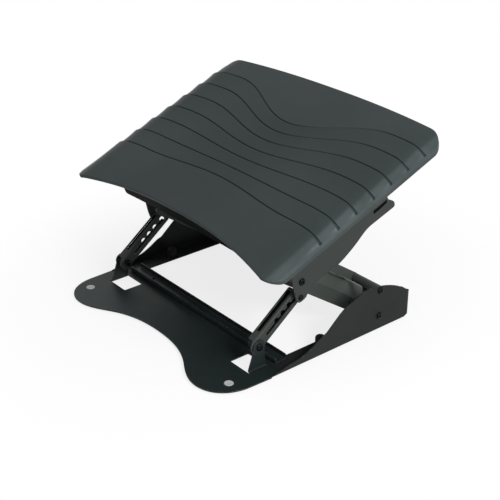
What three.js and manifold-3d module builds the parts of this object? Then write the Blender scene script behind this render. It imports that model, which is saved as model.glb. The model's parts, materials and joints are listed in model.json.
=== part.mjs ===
// Under desk footrest: an arched moulded platform on two bracketed steel beams, carried by a
// parallelogram of a lower frame and two upper bars, held up by two notched struts, on a
// sheet steel base. Millimetres, +Z up, +X to the right, -Y towards the sitter.

import * as THREE from 'three';
import { mergeVertices } from 'three/addons/utils/BufferGeometryUtils.js';
import Module from 'manifold-3d';

const wasm = await Module();
wasm.setup();

// Clearances, and the overrun of cuts
const GAP = 0.3;              // between pieces that lie against each other
const PIVOT_PLAY = 0.35;      // radial play of a hole round its axle
const OVERRUN = 2;            // how far a cutting body runs past the face it cuts
const WELD = 0.0005;          // vertices closer than this are one
const ROUND_SIDES = 16;
const SMALL_SIDES = 10;

// Base: front plate and two side rails. Y = 0 is the front edge of the opening between the
// rails.
const BASE_WIDTH = 375;
const BASE_FRONT = 128;       // from the opening to the front of the lobes
const BASE_REAR = 211;        // from the opening to the rear
const BASE_SHEET = 2;
const FOOT_HEIGHT = 2.5;      // rubber under the sheet
const RAIL_WIDTH = 29;
const UPSTAND_FRONT = 42;     // the side plate's low tip, ahead of the opening
const RAIL_BEND = 9;          // outer radius of the side plate's rear corner
const RETURN_FLANGE = 22;     // inward flange at the rear of the side plate
const PIVOT_MARGIN = 9.2;     // side plate above the upper pivot

// Windows in the front plate, and the ears bent up out of them
const WINDOW_LENGTH = 34;     // across
const WINDOW_WIDTH = 30.4;
const WINDOW_REAR = 29;       // ahead of the opening
const EAR_SHEET = 2.5;
const EAR_RADIUS = 9.5;
const EAR_SETBACK = 11;       // pivot ahead of the window's rear edge
const EAR_RISE = 30.5;        // pivot above the plate
const EAR_TO_RAIL = 4;        // from the ear back to the rail's flange

// Feet and bumpers
const FOOT_INSET = 24.5;
const FOOT_SETBACK = 35;
const FOOT_PLUG_RADIUS = 6.5;
const FOOT_PAD_RADIUS = 9;
const REAR_FOOT_SETBACK = 21;
const MIDDLE_FOOT_Y = 30;
const BUMPER_RADIUS = 7;
const BUMPER_HEIGHT = 15;
const BUMPER_INSET = 19;
const BUMPER_Y = 58;

// Cross channel at the front of the opening, angle bar at the rear
const CHANNEL_DEPTH = 19;
const CHANNEL_HEIGHT = 8;
const CHANNEL_SHEET = 1.5;
const CHANNEL_LAP = 8.5;      // how far each end lies over its rail
const RIVET_RADIUS = 3;
const RIVET_HEIGHT = 1.4;
const REAR_BAR_DEPTH = 16;
const REAR_BAR_HEIGHT = 14;

// Link parallelogram, seen from the side
const PIVOT_Y = 148.5;        // rear pivots behind the opening
const PIVOT_HEIGHT = 19.8;    // lower rear pivot above the sheet
const PIVOT_RISE = 39;        // upper pivot above lower pivot, rear and front alike
const LINK_LENGTH = 149.6;
const LINK_ANGLE = THREE.MathUtils.degToRad(34.7);
const LINK_SHEET = 2;
const LINK_CLEARANCE = 1.8;   // between the links and the strut's nut
const BAR_HEIGHT = 13;        // upper link bars
const BAR_SHEET = 3;
const FLANGE_BELOW = 14;      // lower frame's flanges below the pivot line
const FLANGE_ABOVE = 5;       // and above it, up to the slanted shoulder
const SHOULDER_RISE = 19.5;
const SHOULDER_RUN = 9;
const LINK_END = 12;          // lower frame beyond its pivots
const WEB_SETBACK = 12;       // its web stops short of the front pivots
const WEB_BEYOND = 4;         // and runs past the rear ones

// Axles, sleeves and screws
const AXLE_RADIUS = 4;
const SLEEVE_RADIUS = 6.2;
const SCREW_RADIUS = 2.4;
const SCREW_REACH = 11;       // how far a screw goes into its axle
const HEAD_RADIUS = 5;
const HEAD_HEIGHT = 2.6;

// Notched struts, drawn along their own line from the pivot
const STRUT_WIDTH = 20.5;
const STRUT_DEPTH = 13;       // web to flange edge
const STRUT_SHEET = 2;
const STRUT_TAIL = 11;
const STRUT_BEYOND = 8.5;     // strut beyond its top notch
const SLOT_WIDTH = 4.8;
const SLOT_LOW = 18;
const SLOT_BEYOND = 4;
const NOTCH_RADIUS = 3.7;
const NOTCH_LIFT = 2.6;       // notch centre above the slot's line
const PIN_RADIUS = 3.4;
const PIN_HEAD_RADIUS = 5.2;
const PIN_HEAD_HEIGHT = 2;
const NOTCH_PIN_RADIUS = 2.2;
const NOTCH_HEAD_RADIUS = 4;
const NUT_RADIUS = 5;
const NUT_HEIGHT = 3.4;

// Each notch's distance from the strut's pivot, as a share of the top notch's
const NOTCH_SHARES = [1, 0.807, 0.648, 0.4915];

// Platform, in its own tilted frame: U runs up the slope, W out of it, both zero at the crown
const PLATFORM_TILT = THREE.MathUtils.degToRad(21.4);
const PLATFORM_WIDTH = 444;
const PLATFORM_FRONT = 81.5;  // front corners ahead of U = 0
const PLATFORM_REAR = 243;
const PLATFORM_THICK = 5;
const FRONT_HOLLOW = 24;      // how far the front edge draws back in the middle
const REAR_BOW = 3;
const ROLL_WIDTH = 32;        // where the sides begin to roll down, from the side edge inwards
const ROLL_ACROSS = 36;       // half axes of the roll's ellipse
const ROLL_DOWN = 24;
const FRONT_CORNER = 17;
const REAR_CORNER = 30;
const GROOVES = 7;
const FIRST_GROOVE = 197.5;   // U of the rearmost groove towards the sides
const GROOVE_PITCH = 31.5;
const FIRST_BOW = 47;         // how far the rearmost groove bows forward in the middle
const BOW_STEP = 9.8;         // each groove ahead of it bows this much less
const BOW_HALF = 155;
const END_DROOP = 7;          // how far the grooves turn forward at the side edge
const DROOP_START = 155;
const STEP_HEIGHT = 3;
const RELIEF_EDGE = 5;        // the relief fades out this far from the side edge
const PLATFORM_COLUMNS = 28;
const BOSS_RADIUS = 5.5;

// Brackets and beams under the platform, in the same frame
const PIVOT_AHEAD = 8.1;      // front lower pivot ahead of U = 0
const PIVOT_BELOW = 90.6;     // and below the crown
const PIN_DROP = 22.5;        // notch pin below the front lower pivot
const PIN_AHEAD = 1.3;
const SIDE_CLEARANCE = 20.5;  // between bracket and side plate
const BRACKET_SHEET = 2.5;
const BRACKET_FLANGE = 20;
const BRACKET_FRONT = 21;
const BRACKET_REAR = 169;     // its low rear tip
const BRACKET_TOP_REAR = 160;
const BRACKET_DEPTH = 95;
const BRACKET_CORNER = 10;
const LOBE_RADIUS = 7;        // bracket round the notch pin
const BEAM_SHEET = 2;
const BEAM_CLEARANCE = 4;     // between the beams and the platform above, as long as its bosses
const FRONT_BEAM_U = -44;
const REAR_BEAM_U = 122;
const BEAM_FLANGE = 40;
const FRONT_LIP = 36;
const REAR_LIP = 16;
const LIP_RISE = 5;           // the front lip is this much shallower in the middle
const FASTENER_SETBACK = 32;  // screw row behind the beam's lip
const FASTENER_RADIUS = 2;
const FASTENER_HEAD = 4;
const FASTENER_HEAD_HEIGHT = 2.2;
const INNER_FASTENER_X = 75;

// Worked out from the sizes above, from the outside of the base inwards
const BASE_HALF = BASE_WIDTH / 2;
const PLATE_TOP = FOOT_HEIGHT + BASE_SHEET;
const RAIL_INNER = BASE_HALF - RAIL_WIDTH;
const RAIL_FRONT = WINDOW_REAR - EAR_TO_RAIL;
const SIDE_INNER = BASE_HALF - BASE_SHEET;
const SIDE_HEIGHT = BASE_SHEET + PIVOT_HEIGHT + PIVOT_RISE + PIVOT_MARGIN;
const BRACKET_OUTER = SIDE_INNER - SIDE_CLEARANCE;
const BRACKET_INNER = BRACKET_OUTER - BRACKET_SHEET;
const EAR_OUTER = BRACKET_INNER - PIN_HEAD_HEIGHT - 2 * GAP;
const EAR_INNER = EAR_OUTER - EAR_SHEET;
const STRUT_OUTER = EAR_INNER - 2 * GAP;
const STRUT_INNER = STRUT_OUTER - STRUT_DEPTH;
const NUT_FACE = STRUT_INNER - 2 * GAP;
const LINK_OUTER = NUT_FACE - NUT_HEIGHT - LINK_CLEARANCE;
const PLATFORM_HALF = PLATFORM_WIDTH / 2;

// Side view places
const LOW_PIVOT_Z = PLATE_TOP + PIVOT_HEIGHT;
const HIGH_PIVOT_Z = LOW_PIVOT_Z + PIVOT_RISE;
const FRONT_Y = PIVOT_Y - LINK_LENGTH * Math.cos(LINK_ANGLE);
const FRONT_Z = LOW_PIVOT_Z + LINK_LENGTH * Math.sin(LINK_ANGLE);
const PIN_Y = FRONT_Y - PIN_AHEAD;
const PIN_Z = FRONT_Z - PIN_DROP;
const STRUT_Y = -WINDOW_REAR - EAR_SETBACK;
const STRUT_Z = PLATE_TOP + EAR_RISE;
const PIN_REACH = Math.hypot(PIN_Y - STRUT_Y, PIN_Z - STRUT_Z);
const TOP_NOTCH = Math.sqrt(PIN_REACH ** 2 - NOTCH_LIFT ** 2);
const STRUT_ANGLE = Math.atan2(PIN_Z - STRUT_Z, PIN_Y - STRUT_Y) - Math.asin(NOTCH_LIFT / PIN_REACH);

// Colour, roughness and metalness of each finish
const finishes = {
  steel: { color: 0x2c302f, roughness: 0.42, metalness: 0.25 },
  plate: { color: 0x25282a, roughness: 0.36, metalness: 0.25 },
  moulding: { color: 0x404848, roughness: 0.55, metalness: 0 },
  fastener: { color: 0x1b1c1d, roughness: 0.3, metalness: 0.6 },
  bright: { color: 0x8f9294, roughness: 0.35, metalness: 0.9 },
  rubber: { color: 0x242424, roughness: 0.8, metalness: 0 },
  pad: { color: 0xa8a8a8, roughness: 0.75, metalness: 0 },
  nylon: { color: 0x1e1f20, roughness: 0.6, metalness: 0 },
};

// Booleans on closed meshes
function solid(geometry) {
  const bare = geometry.clone();
  bare.deleteAttribute('normal');
  bare.deleteAttribute('uv');
  const merged = mergeVertices(bare, WELD);
  return new wasm.Manifold(new wasm.Mesh({
    numProp: 3,
    vertProperties: new Float32Array(merged.attributes.position.array),
    triVerts: new Uint32Array(merged.index.array),
  }));
}

function geometryOf(manifold) {
  const mesh = manifold.getMesh();
  const geometry = new THREE.BufferGeometry();
  geometry.setAttribute('position', new THREE.BufferAttribute(new Float32Array(mesh.vertProperties), 3));
  geometry.setIndex(new THREE.BufferAttribute(new Uint32Array(mesh.triVerts), 1));
  geometry.computeVertexNormals();
  return geometry;
}

function join(...solids) {
  return solids.reduce((whole, next) => whole.add(next));
}

function cut(body, ...tools) {
  return tools.reduce((left, tool) => left.subtract(tool), body);
}

function mirrored(manifold) {
  return manifold.mirror([1, 0, 0]);
}

function bothSides(manifold) {
  return manifold.add(mirrored(manifold));
}

// Blanks
function block([x0, x1], [y0, y1], [z0, z1]) {
  const geometry = new THREE.BoxGeometry(x1 - x0, y1 - y0, z1 - z0);
  geometry.translate((x0 + x1) / 2, (y0 + y1) / 2, (z0 + z1) / 2);
  return solid(geometry);
}

function rodAlongX(radius, [x0, x1], [y, z], sides = ROUND_SIDES) {
  const geometry = new THREE.CylinderGeometry(radius, radius, x1 - x0, sides);
  geometry.rotateZ(-Math.PI / 2);
  geometry.translate((x0 + x1) / 2, y, z);
  return solid(geometry);
}

function rodAlongZ(radius, [x, y], [z0, z1], sides = ROUND_SIDES) {
  const geometry = new THREE.CylinderGeometry(radius, radius, z1 - z0, sides);
  geometry.rotateX(Math.PI / 2);
  geometry.translate(x, y, (z0 + z1) / 2);
  return solid(geometry);
}

function past([low, high]) {
  return [low - OVERRUN, high + OVERRUN];
}

function sleeveAlongX(outer, inner, span, place) {
  return cut(rodAlongX(outer, span, place), rodAlongX(inner, past(span), place));
}

// A closed outline with rounded corners: each point is [across, up, radius]
function roundedShape(points) {
  const shape = new THREE.Shape();
  const count = points.length;
  points.forEach(([a, b, radius], i) => {
    const here = new THREE.Vector2(a, b);
    const [backA, backB] = points[(i + count - 1) % count];
    const [aheadA, aheadB] = points[(i + 1) % count];
    const back = new THREE.Vector2(backA, backB).sub(here);
    const ahead = new THREE.Vector2(aheadA, aheadB).sub(here);
    const reach = Math.min(radius, back.length() / 2, ahead.length() / 2);
    const start = here.clone().add(back.setLength(reach));
    const end = here.clone().add(ahead.setLength(reach));
    if (i === 0) {
      shape.moveTo(start.x, start.y);
    } else {
      shape.lineTo(start.x, start.y);
    }
    if (reach > 0) {
      shape.quadraticCurveTo(here.x, here.y, end.x, end.y);
    }
  });
  shape.closePath();
  return shape;
}

function extruded(shape, depth, segments) {
  return new THREE.ExtrudeGeometry(shape, { depth, bevelEnabled: false, curveSegments: segments });
}

// Sheets whose outline lies in the Y-Z, the X-Z and the X-Y plane
function sheetAcrossX(shape, [x0, x1], segments = 4) {
  const geometry = extruded(shape, x1 - x0, segments);
  const alongY = new THREE.Vector3(0, 1, 0);
  const alongZ = new THREE.Vector3(0, 0, 1);
  const alongX = new THREE.Vector3(1, 0, 0);
  geometry.applyMatrix4(new THREE.Matrix4().makeBasis(alongY, alongZ, alongX));
  geometry.translate(x0, 0, 0);
  return solid(geometry);
}

function sheetAcrossY(shape, [y0, y1], segments = 8) {
  const geometry = extruded(shape, y1 - y0, segments);
  geometry.rotateX(Math.PI / 2);
  geometry.translate(0, y1, 0);
  return solid(geometry);
}

function sheetAcrossZ(shape, [z0, z1], segments = 8) {
  const geometry = extruded(shape, z1 - z0, segments);
  geometry.translate(0, 0, z0);
  return solid(geometry);
}

function named(name, manifold, finish) {
  const material = new THREE.MeshStandardMaterial(finishes[finish]);
  const mesh = new THREE.Mesh(geometryOf(manifold), material);
  mesh.name = name;
  return mesh;
}

// Base front plate: bone shaped, with a hollow front edge. Each row of shares is one curve,
// as shares of half the base's width across and of its front depth forwards.
const FRONT_NECK_SHARE = 0.68;
const LOBE_SHARES = [
  [0.24, FRONT_NECK_SHARE, 0.373, 0.758, 0.49, 0.867],
  [0.576, 0.945, 0.65, 1, 0.736, 1],
  [0.88, 1, 0.981, 0.844, 0.992, 0.625],
];

function halfPlateShape() {
  const shape = new THREE.Shape();
  shape.moveTo(0, -FRONT_NECK_SHARE * BASE_FRONT);
  for (const [x1, y1, x2, y2, x3, y3] of LOBE_SHARES) {
    shape.bezierCurveTo(
      x1 * BASE_HALF, -y1 * BASE_FRONT,
      x2 * BASE_HALF, -y2 * BASE_FRONT,
      x3 * BASE_HALF, -y3 * BASE_FRONT,
    );
  }
  shape.lineTo(BASE_HALF, -UPSTAND_FRONT - GAP);
  shape.lineTo(SIDE_INNER - GAP, -UPSTAND_FRONT - GAP);
  shape.lineTo(SIDE_INNER - GAP, -RAIL_FRONT - GAP);
  shape.lineTo(RAIL_INNER - GAP, -RAIL_FRONT - GAP);
  shape.lineTo(RAIL_INNER - GAP, 0);
  shape.lineTo(0, 0);
  shape.closePath();
  return shape;
}

// The ear stands on the window's outer edge and carries the strut's pivot
function ear() {
  const front = -WINDOW_REAR - WINDOW_WIDTH;
  const shoulder = STRUT_Z - EAR_RADIUS / 3;
  const turn = Math.asin(1 / 3);
  const shape = new THREE.Shape();
  shape.moveTo(front, FOOT_HEIGHT);
  shape.lineTo(-WINDOW_REAR, FOOT_HEIGHT);
  shape.lineTo(-WINDOW_REAR, PLATE_TOP);
  shape.lineTo(STRUT_Y + EAR_RADIUS * Math.cos(turn), shoulder);
  shape.absarc(STRUT_Y, STRUT_Z, EAR_RADIUS, -turn, Math.PI + turn, false);
  shape.lineTo(front, PLATE_TOP);
  const span = [EAR_INNER, EAR_OUTER];
  const hole = rodAlongX(PIN_RADIUS + PIVOT_PLAY, past(span), [STRUT_Y, STRUT_Z]);
  return cut(sheetAcrossX(shape, span, 7), hole);
}

const frontFootPlace = [BASE_HALF - FOOT_INSET, FOOT_SETBACK - BASE_FRONT];

function baseFrontPlate() {
  const sheet = [FOOT_HEIGHT, PLATE_TOP];
  const windowAcross = [EAR_INNER - WINDOW_LENGTH, EAR_INNER];
  const window = block(windowAcross, [-WINDOW_REAR - WINDOW_WIDTH, -WINDOW_REAR], past(sheet));
  const footHole = rodAlongZ(FOOT_PLUG_RADIUS, frontFootPlace, past(sheet));
  const half = cut(sheetAcrossZ(halfPlateShape(), sheet, 7), window, footHole);
  return bothSides(join(half, ear()));
}

// Side rail: a flat flange, a tall side plate at its outer edge and an inward flange at the
// rear. Shares run along the side plate and up it, with the corner's radius along it.
const SIDE_SHARES = [
  [0, 0, 0], [0, 0.03, 0], [0.059, 0.075, 0.02], [0.213, 0.171, 0.04], [0.276, 0.266, 0.03],
  [0.342, 0.407, 0.02], [0.368, 0.429, 0.02], [0.488, 0.794, 0.05], [0.573, 0.904, 0.03],
  [0.628, 0.99, 0.03], [0.7, 1, 0.05], [0.802, 0.926, 0.05], [0.893, 0.8, 0.04],
  [1, 0.545, 0],
];

function sideOutline() {
  const length = UPSTAND_FRONT + BASE_REAR;
  const points = SIDE_SHARES.map(([along, up, radius]) => [
    along * length - UPSTAND_FRONT,
    FOOT_HEIGHT + up * SIDE_HEIGHT,
    radius * length,
  ]);
  return roundedShape([...points, [BASE_REAR, FOOT_HEIGHT, 0]]);
}

// Plan of the side plate: straight, then turned inwards at the rear
function sidePlan() {
  const bendX = BASE_HALF - RAIL_BEND;
  const bendY = BASE_REAR - RAIL_BEND;
  const shape = new THREE.Shape();
  shape.moveTo(SIDE_INNER, -UPSTAND_FRONT);
  shape.lineTo(BASE_HALF, -UPSTAND_FRONT);
  shape.absarc(bendX, bendY, RAIL_BEND, 0, Math.PI / 2, false);
  shape.lineTo(BASE_HALF - RETURN_FLANGE, BASE_REAR);
  shape.lineTo(BASE_HALF - RETURN_FLANGE, BASE_REAR - BASE_SHEET);
  shape.absarc(bendX, bendY, RAIL_BEND - BASE_SHEET, Math.PI / 2, 0, true);
  shape.closePath();
  return shape;
}

function railFlange() {
  const bendX = BASE_HALF - RAIL_BEND;
  const bendY = BASE_REAR - RAIL_BEND;
  const shape = new THREE.Shape();
  shape.moveTo(RAIL_INNER, -RAIL_FRONT);
  shape.lineTo(SIDE_INNER + WELD, -RAIL_FRONT);
  shape.lineTo(SIDE_INNER + WELD, bendY);
  shape.absarc(bendX, bendY, RAIL_BEND - BASE_SHEET / 2, 0, Math.PI / 2, false);
  shape.lineTo(RAIL_INNER, BASE_REAR - BASE_SHEET / 2);
  shape.closePath();
  return sheetAcrossZ(shape, [FOOT_HEIGHT, PLATE_TOP], 5);
}

function sideRail() {
  const across = [RAIL_INNER, BASE_HALF];
  const rising = sheetAcrossZ(sidePlan(), [FOOT_HEIGHT, FOOT_HEIGHT + SIDE_HEIGHT], 5);
  const wall = rising.intersect(sheetAcrossX(sideOutline(), past(across), 3));
  const holes = [LOW_PIVOT_Z, HIGH_PIVOT_Z].map((z) => rodAlongX(
    SCREW_RADIUS + GAP, past([SIDE_INNER, BASE_HALF]), [PIVOT_Y, z], SMALL_SIDES,
  ));
  return cut(join(wall, railFlange()), ...holes);
}

// Cross channel, open upwards, lying over the front plate's rear edge and both rails
const channelHalf = RAIL_INNER + CHANNEL_LAP;

function crossChannel() {
  const low = PLATE_TOP + GAP;
  const shape = new THREE.Shape();
  shape.moveTo(-CHANNEL_DEPTH - GAP, low);
  shape.lineTo(-GAP, low);
  shape.lineTo(-GAP, low + CHANNEL_HEIGHT);
  shape.lineTo(-GAP - CHANNEL_SHEET, low + CHANNEL_HEIGHT);
  shape.lineTo(-GAP - CHANNEL_SHEET, low + CHANNEL_SHEET);
  shape.lineTo(-CHANNEL_DEPTH - GAP + CHANNEL_SHEET, low + CHANNEL_SHEET);
  shape.lineTo(-CHANNEL_DEPTH - GAP + CHANNEL_SHEET, low + CHANNEL_HEIGHT);
  shape.lineTo(-CHANNEL_DEPTH - GAP, low + CHANNEL_HEIGHT);
  shape.closePath();
  return sheetAcrossX(shape, [-channelHalf, channelHalf]);
}

function channelRivet(x) {
  const low = PLATE_TOP + CHANNEL_SHEET + 2 * GAP;
  return rodAlongZ(RIVET_RADIUS, [x, -GAP - CHANNEL_DEPTH / 2], [low, low + RIVET_HEIGHT], SMALL_SIDES);
}

// Rear bar: an angle lying over both rails, just ahead of their rear flanges
function rearBar() {
  const half = BASE_HALF - RETURN_FLANGE + CHANNEL_SHEET;
  const back = BASE_REAR - BASE_SHEET - GAP;
  const low = PLATE_TOP + GAP;
  const floor = block([-half, half], [back - REAR_BAR_DEPTH, back], [low, low + BASE_SHEET]);
  const wall = block([-half, half], [back - BASE_SHEET, back], [low, low + REAR_BAR_HEIGHT]);
  return join(floor, wall);
}

// Front foot: a soft pad under the plate, its plug standing in the hole above
function frontFoot() {
  const pad = rodAlongZ(FOOT_PAD_RADIUS, frontFootPlace, [0, FOOT_HEIGHT - GAP]);
  const plug = rodAlongZ(FOOT_PLUG_RADIUS - GAP, frontFootPlace, [GAP, PLATE_TOP + GAP]);
  return join(pad, plug);
}

function railFoot(y) {
  return rodAlongZ(FOOT_PAD_RADIUS, [RAIL_INNER + RAIL_WIDTH / 2, y], [0, FOOT_HEIGHT - GAP]);
}

// Domed bumper on the rail
function bumper() {
  const wall = BUMPER_HEIGHT - BUMPER_RADIUS / 2;
  const steps = 4;
  const profile = [new THREE.Vector2(0, 0), new THREE.Vector2(BUMPER_RADIUS, 0)];
  for (let i = 0; i < steps; i += 1) {
    const turn = (i / steps) * (Math.PI / 2);
    const up = wall + (BUMPER_HEIGHT - wall) * Math.sin(turn);
    profile.push(new THREE.Vector2(BUMPER_RADIUS * Math.cos(turn), up));
  }
  profile.push(new THREE.Vector2(0, BUMPER_HEIGHT));
  const geometry = new THREE.LatheGeometry(profile, ROUND_SIDES);
  geometry.rotateX(Math.PI / 2);
  geometry.translate(BASE_HALF - BUMPER_INSET, BUMPER_Y, PLATE_TOP + GAP);
  return solid(geometry);
}

// Cross axle with a bore in each end for its screws
function axle(half, place) {
  const bore = rodAlongX(SCREW_RADIUS + GAP, [half - SCREW_REACH - GAP, half + OVERRUN], place, SMALL_SIDES);
  return cut(rodAlongX(AXLE_RADIUS, [-half, half], place), bore, mirrored(bore));
}

// Screw of an axle: stepped head outside the plate, shank in the axle's bore
function axleScrew(plateFace, axleHalf, place) {
  const seat = plateFace + GAP;
  const shank = rodAlongX(SCREW_RADIUS, [axleHalf - SCREW_REACH, seat + GAP], place, SMALL_SIDES);
  const head = rodAlongX(HEAD_RADIUS, [seat, seat + HEAD_HEIGHT / 2], place);
  const crown = rodAlongX(HEAD_RADIUS * Math.SQRT1_2, [seat, seat + HEAD_HEIGHT], place);
  return join(shank, head, crown);
}

function axleSleeve(outerEnd, place) {
  return sleeveAlongX(SLEEVE_RADIUS, AXLE_RADIUS + GAP, [LINK_OUTER + GAP, outerEnd], place);
}

// Strut pivot: headed bolt through ear, strut and bush, with its nut at the inner end
function strutPivot() {
  const place = [STRUT_Y, STRUT_Z];
  const seat = EAR_OUTER + GAP;
  const shank = rodAlongX(PIN_RADIUS, [NUT_FACE - NUT_HEIGHT, seat + GAP], place);
  const head = rodAlongX(PIN_HEAD_RADIUS, [seat, seat + PIN_HEAD_HEIGHT], place);
  const nut = rodAlongX(NUT_RADIUS, [NUT_FACE - NUT_HEIGHT, NUT_FACE], place, 6);
  return join(shank, head, nut);
}

const SIDES = [
  ['right', (manifold) => manifold],
  ['left', mirrored],
];
const rearAxleHalf = SIDE_INNER - GAP;
const frontAxleHalf = BRACKET_INNER - GAP;
const rearPivots = { lower: [PIVOT_Y, LOW_PIVOT_Z], upper: [PIVOT_Y, HIGH_PIVOT_Z] };

const footrest = new THREE.Group();
footrest.add(named('base_front_plate', baseFrontPlate(), 'plate'));
footrest.add(named('cross_channel', crossChannel(), 'plate'));
footrest.add(named('rear_bar', rearBar(), 'plate'));
for (const [side, turned] of SIDES) {
  footrest.add(named(`side_rail_${side}`, turned(sideRail()), 'steel'));
  footrest.add(named(`channel_rivet_${side}`, turned(channelRivet(EAR_INNER - WINDOW_LENGTH)), 'fastener'));
  footrest.add(named(`front_foot_${side}`, turned(frontFoot()), 'pad'));
  footrest.add(named(`middle_foot_${side}`, turned(railFoot(MIDDLE_FOOT_Y)), 'rubber'));
  footrest.add(named(`rear_foot_${side}`, turned(railFoot(BASE_REAR - REAR_FOOT_SETBACK)), 'rubber'));
  footrest.add(named(`bumper_${side}`, turned(bumper()), 'rubber'));
  footrest.add(named(`strut_pivot_${side}`, turned(strutPivot()), 'fastener'));
  for (const [level, place] of Object.entries(rearPivots)) {
    const sleeve = turned(axleSleeve(rearAxleHalf, place));
    const screw = turned(axleScrew(BASE_HALF, rearAxleHalf, place));
    footrest.add(named(`rear_${level}_sleeve_${side}`, sleeve, 'nylon'));
    footrest.add(named(`rear_${level}_screw_${side}`, screw, 'fastener'));
  }
}
for (const [level, place] of Object.entries(rearPivots)) {
  footrest.add(named(`rear_${level}_axle`, axle(rearAxleHalf, place), 'bright'));
}

// Links are drawn along their own line: the rear pivot at Y = 0, the front one at
// Y = -LINK_LENGTH
function pivotHoles(span) {
  return [0, -LINK_LENGTH].map((y) => rodAlongX(AXLE_RADIUS + PIVOT_PLAY, past(span), [y, 0]));
}

// Lower lift frame: one folded sheet with a flange down each side, slanted shoulders and a
// flat web on top
function lowerFrame() {
  const top = FLANGE_ABOVE + SHOULDER_RISE;
  const shoulder = LINK_OUTER - SHOULDER_RUN;
  const lean = LINK_SHEET * (SHOULDER_RUN / SHOULDER_RISE);
  const section = new THREE.Shape();
  section.moveTo(0, top);
  section.lineTo(shoulder, top);
  section.lineTo(LINK_OUTER, FLANGE_ABOVE);
  section.lineTo(LINK_OUTER, -FLANGE_BELOW);
  section.lineTo(LINK_OUTER - LINK_SHEET, -FLANGE_BELOW);
  section.lineTo(LINK_OUTER - LINK_SHEET, FLANGE_ABOVE - lean);
  section.lineTo(shoulder - LINK_SHEET + lean / 2, top - LINK_SHEET);
  section.lineTo(0, top - LINK_SHEET);
  section.closePath();
  const whole = [-LINK_LENGTH - LINK_END, LINK_END];
  const profile = bothSides(sheetAcrossY(section, past(whole)));
  const outline = roundedShape([
    [LINK_END, -FLANGE_BELOW, LINK_END],
    [LINK_END, FLANGE_ABOVE + LINK_SHEET, LINK_END / 2],
    [WEB_BEYOND, top + LINK_SHEET, LINK_SHEET],
    [WEB_SETBACK - LINK_LENGTH, top + LINK_SHEET, LINK_SHEET],
    [-LINK_LENGTH - LINK_END, FLANGE_ABOVE + LINK_SHEET, LINK_END / 2],
    [-LINK_LENGTH - LINK_END, -FLANGE_BELOW, LINK_END],
  ]);
  const side = sheetAcrossX(outline, past([-LINK_OUTER, LINK_OUTER]), 5);
  return cut(profile.intersect(side), ...pivotHoles([-LINK_OUTER, LINK_OUTER]));
}

function upperLink() {
  const half = BAR_HEIGHT / 2;
  const span = [LINK_OUTER - BAR_SHEET, LINK_OUTER];
  const outline = new THREE.Shape();
  outline.absarc(0, 0, half, -Math.PI / 2, Math.PI / 2, false);
  outline.absarc(-LINK_LENGTH, 0, half, Math.PI / 2, Math.PI * 1.5, false);
  outline.closePath();
  return cut(sheetAcrossX(outline, span, 6), ...pivotHoles(span));
}

const lowerGroup = new THREE.Group();
lowerGroup.position.set(0, PIVOT_Y, LOW_PIVOT_Z);
lowerGroup.rotation.x = -LINK_ANGLE;
lowerGroup.add(named('lower_lift_frame', lowerFrame(), 'steel'));
footrest.add(lowerGroup);

const upperGroup = new THREE.Group();
upperGroup.position.set(0, PIVOT_Y, HIGH_PIVOT_Z);
upperGroup.rotation.x = -LINK_ANGLE;
for (const [side, turned] of SIDES) {
  upperGroup.add(named(`upper_link_${side}`, turned(upperLink()), 'steel'));
}
footrest.add(upperGroup);

// Strut: a channel with its web's outer face at X = 0 and its flanges towards -X, the
// pivot at the origin. One and the same part serves both sides.
function strut() {
  const half = STRUT_WIDTH / 2;
  const top = TOP_NOTCH + STRUT_BEYOND;
  const outline = roundedShape([
    [-STRUT_TAIL, -half, half], [top, -half, half / 2],
    [top, half, half / 2], [-STRUT_TAIL, half, half],
  ]);
  const hollow = block(
    [-STRUT_DEPTH - OVERRUN, -STRUT_SHEET],
    past([-STRUT_TAIL, top]),
    [STRUT_SHEET - half, half - STRUT_SHEET],
  );
  const web = past([-STRUT_SHEET, 0]);
  const slotHalf = SLOT_WIDTH / 2;
  const slot = new THREE.Shape();
  slot.absarc(SLOT_LOW + slotHalf, 0, slotHalf, Math.PI / 2, Math.PI * 1.5, false);
  slot.absarc(TOP_NOTCH + SLOT_BEYOND - slotHalf, 0, slotHalf, -Math.PI / 2, Math.PI / 2, false);
  slot.closePath();
  const notches = NOTCH_SHARES.map((share) => rodAlongX(
    NOTCH_RADIUS, web, [share * TOP_NOTCH, NOTCH_LIFT], SMALL_SIDES,
  ));
  const pivotHole = rodAlongX(PIN_RADIUS + PIVOT_PLAY, web, [0, 0]);
  const channel = cut(sheetAcrossX(outline, [-STRUT_DEPTH, 0]), hollow);
  return cut(channel, sheetAcrossX(slot, web, 3), pivotHole, ...notches);
}

function strutBush() {
  return sleeveAlongX(SLEEVE_RADIUS, PIN_RADIUS + GAP, [-STRUT_DEPTH, -STRUT_SHEET - GAP], [0, 0]);
}

// The right strut's web lies by its ear, the left one's flange edges do
const strutFaces = { right: STRUT_OUTER, left: -STRUT_INNER };
for (const [side, face] of Object.entries(strutFaces)) {
  const group = new THREE.Group();
  group.position.set(face, STRUT_Y, STRUT_Z);
  group.rotation.x = STRUT_ANGLE;
  group.add(named(`strut_${side}`, strut(), 'steel'));
  group.add(named(`strut_bush_${side}`, strutBush(), 'nylon'));
  footrest.add(group);
}

// Platform: the crown's roll to each side, and the bow of the grooves
function rollDrop(x) {
  const inward = Math.max(0, Math.abs(x) - PLATFORM_HALF + ROLL_WIDTH);
  const share = Math.min(inward, ROLL_WIDTH + OVERRUN) / ROLL_ACROSS;
  return ROLL_DOWN * (1 - Math.sqrt(1 - share ** 2));
}

function bowAt(x) {
  const share = Math.min(1, Math.abs(x) / BOW_HALF);
  return Math.cos((share * Math.PI) / 2) ** 2;
}

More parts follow.
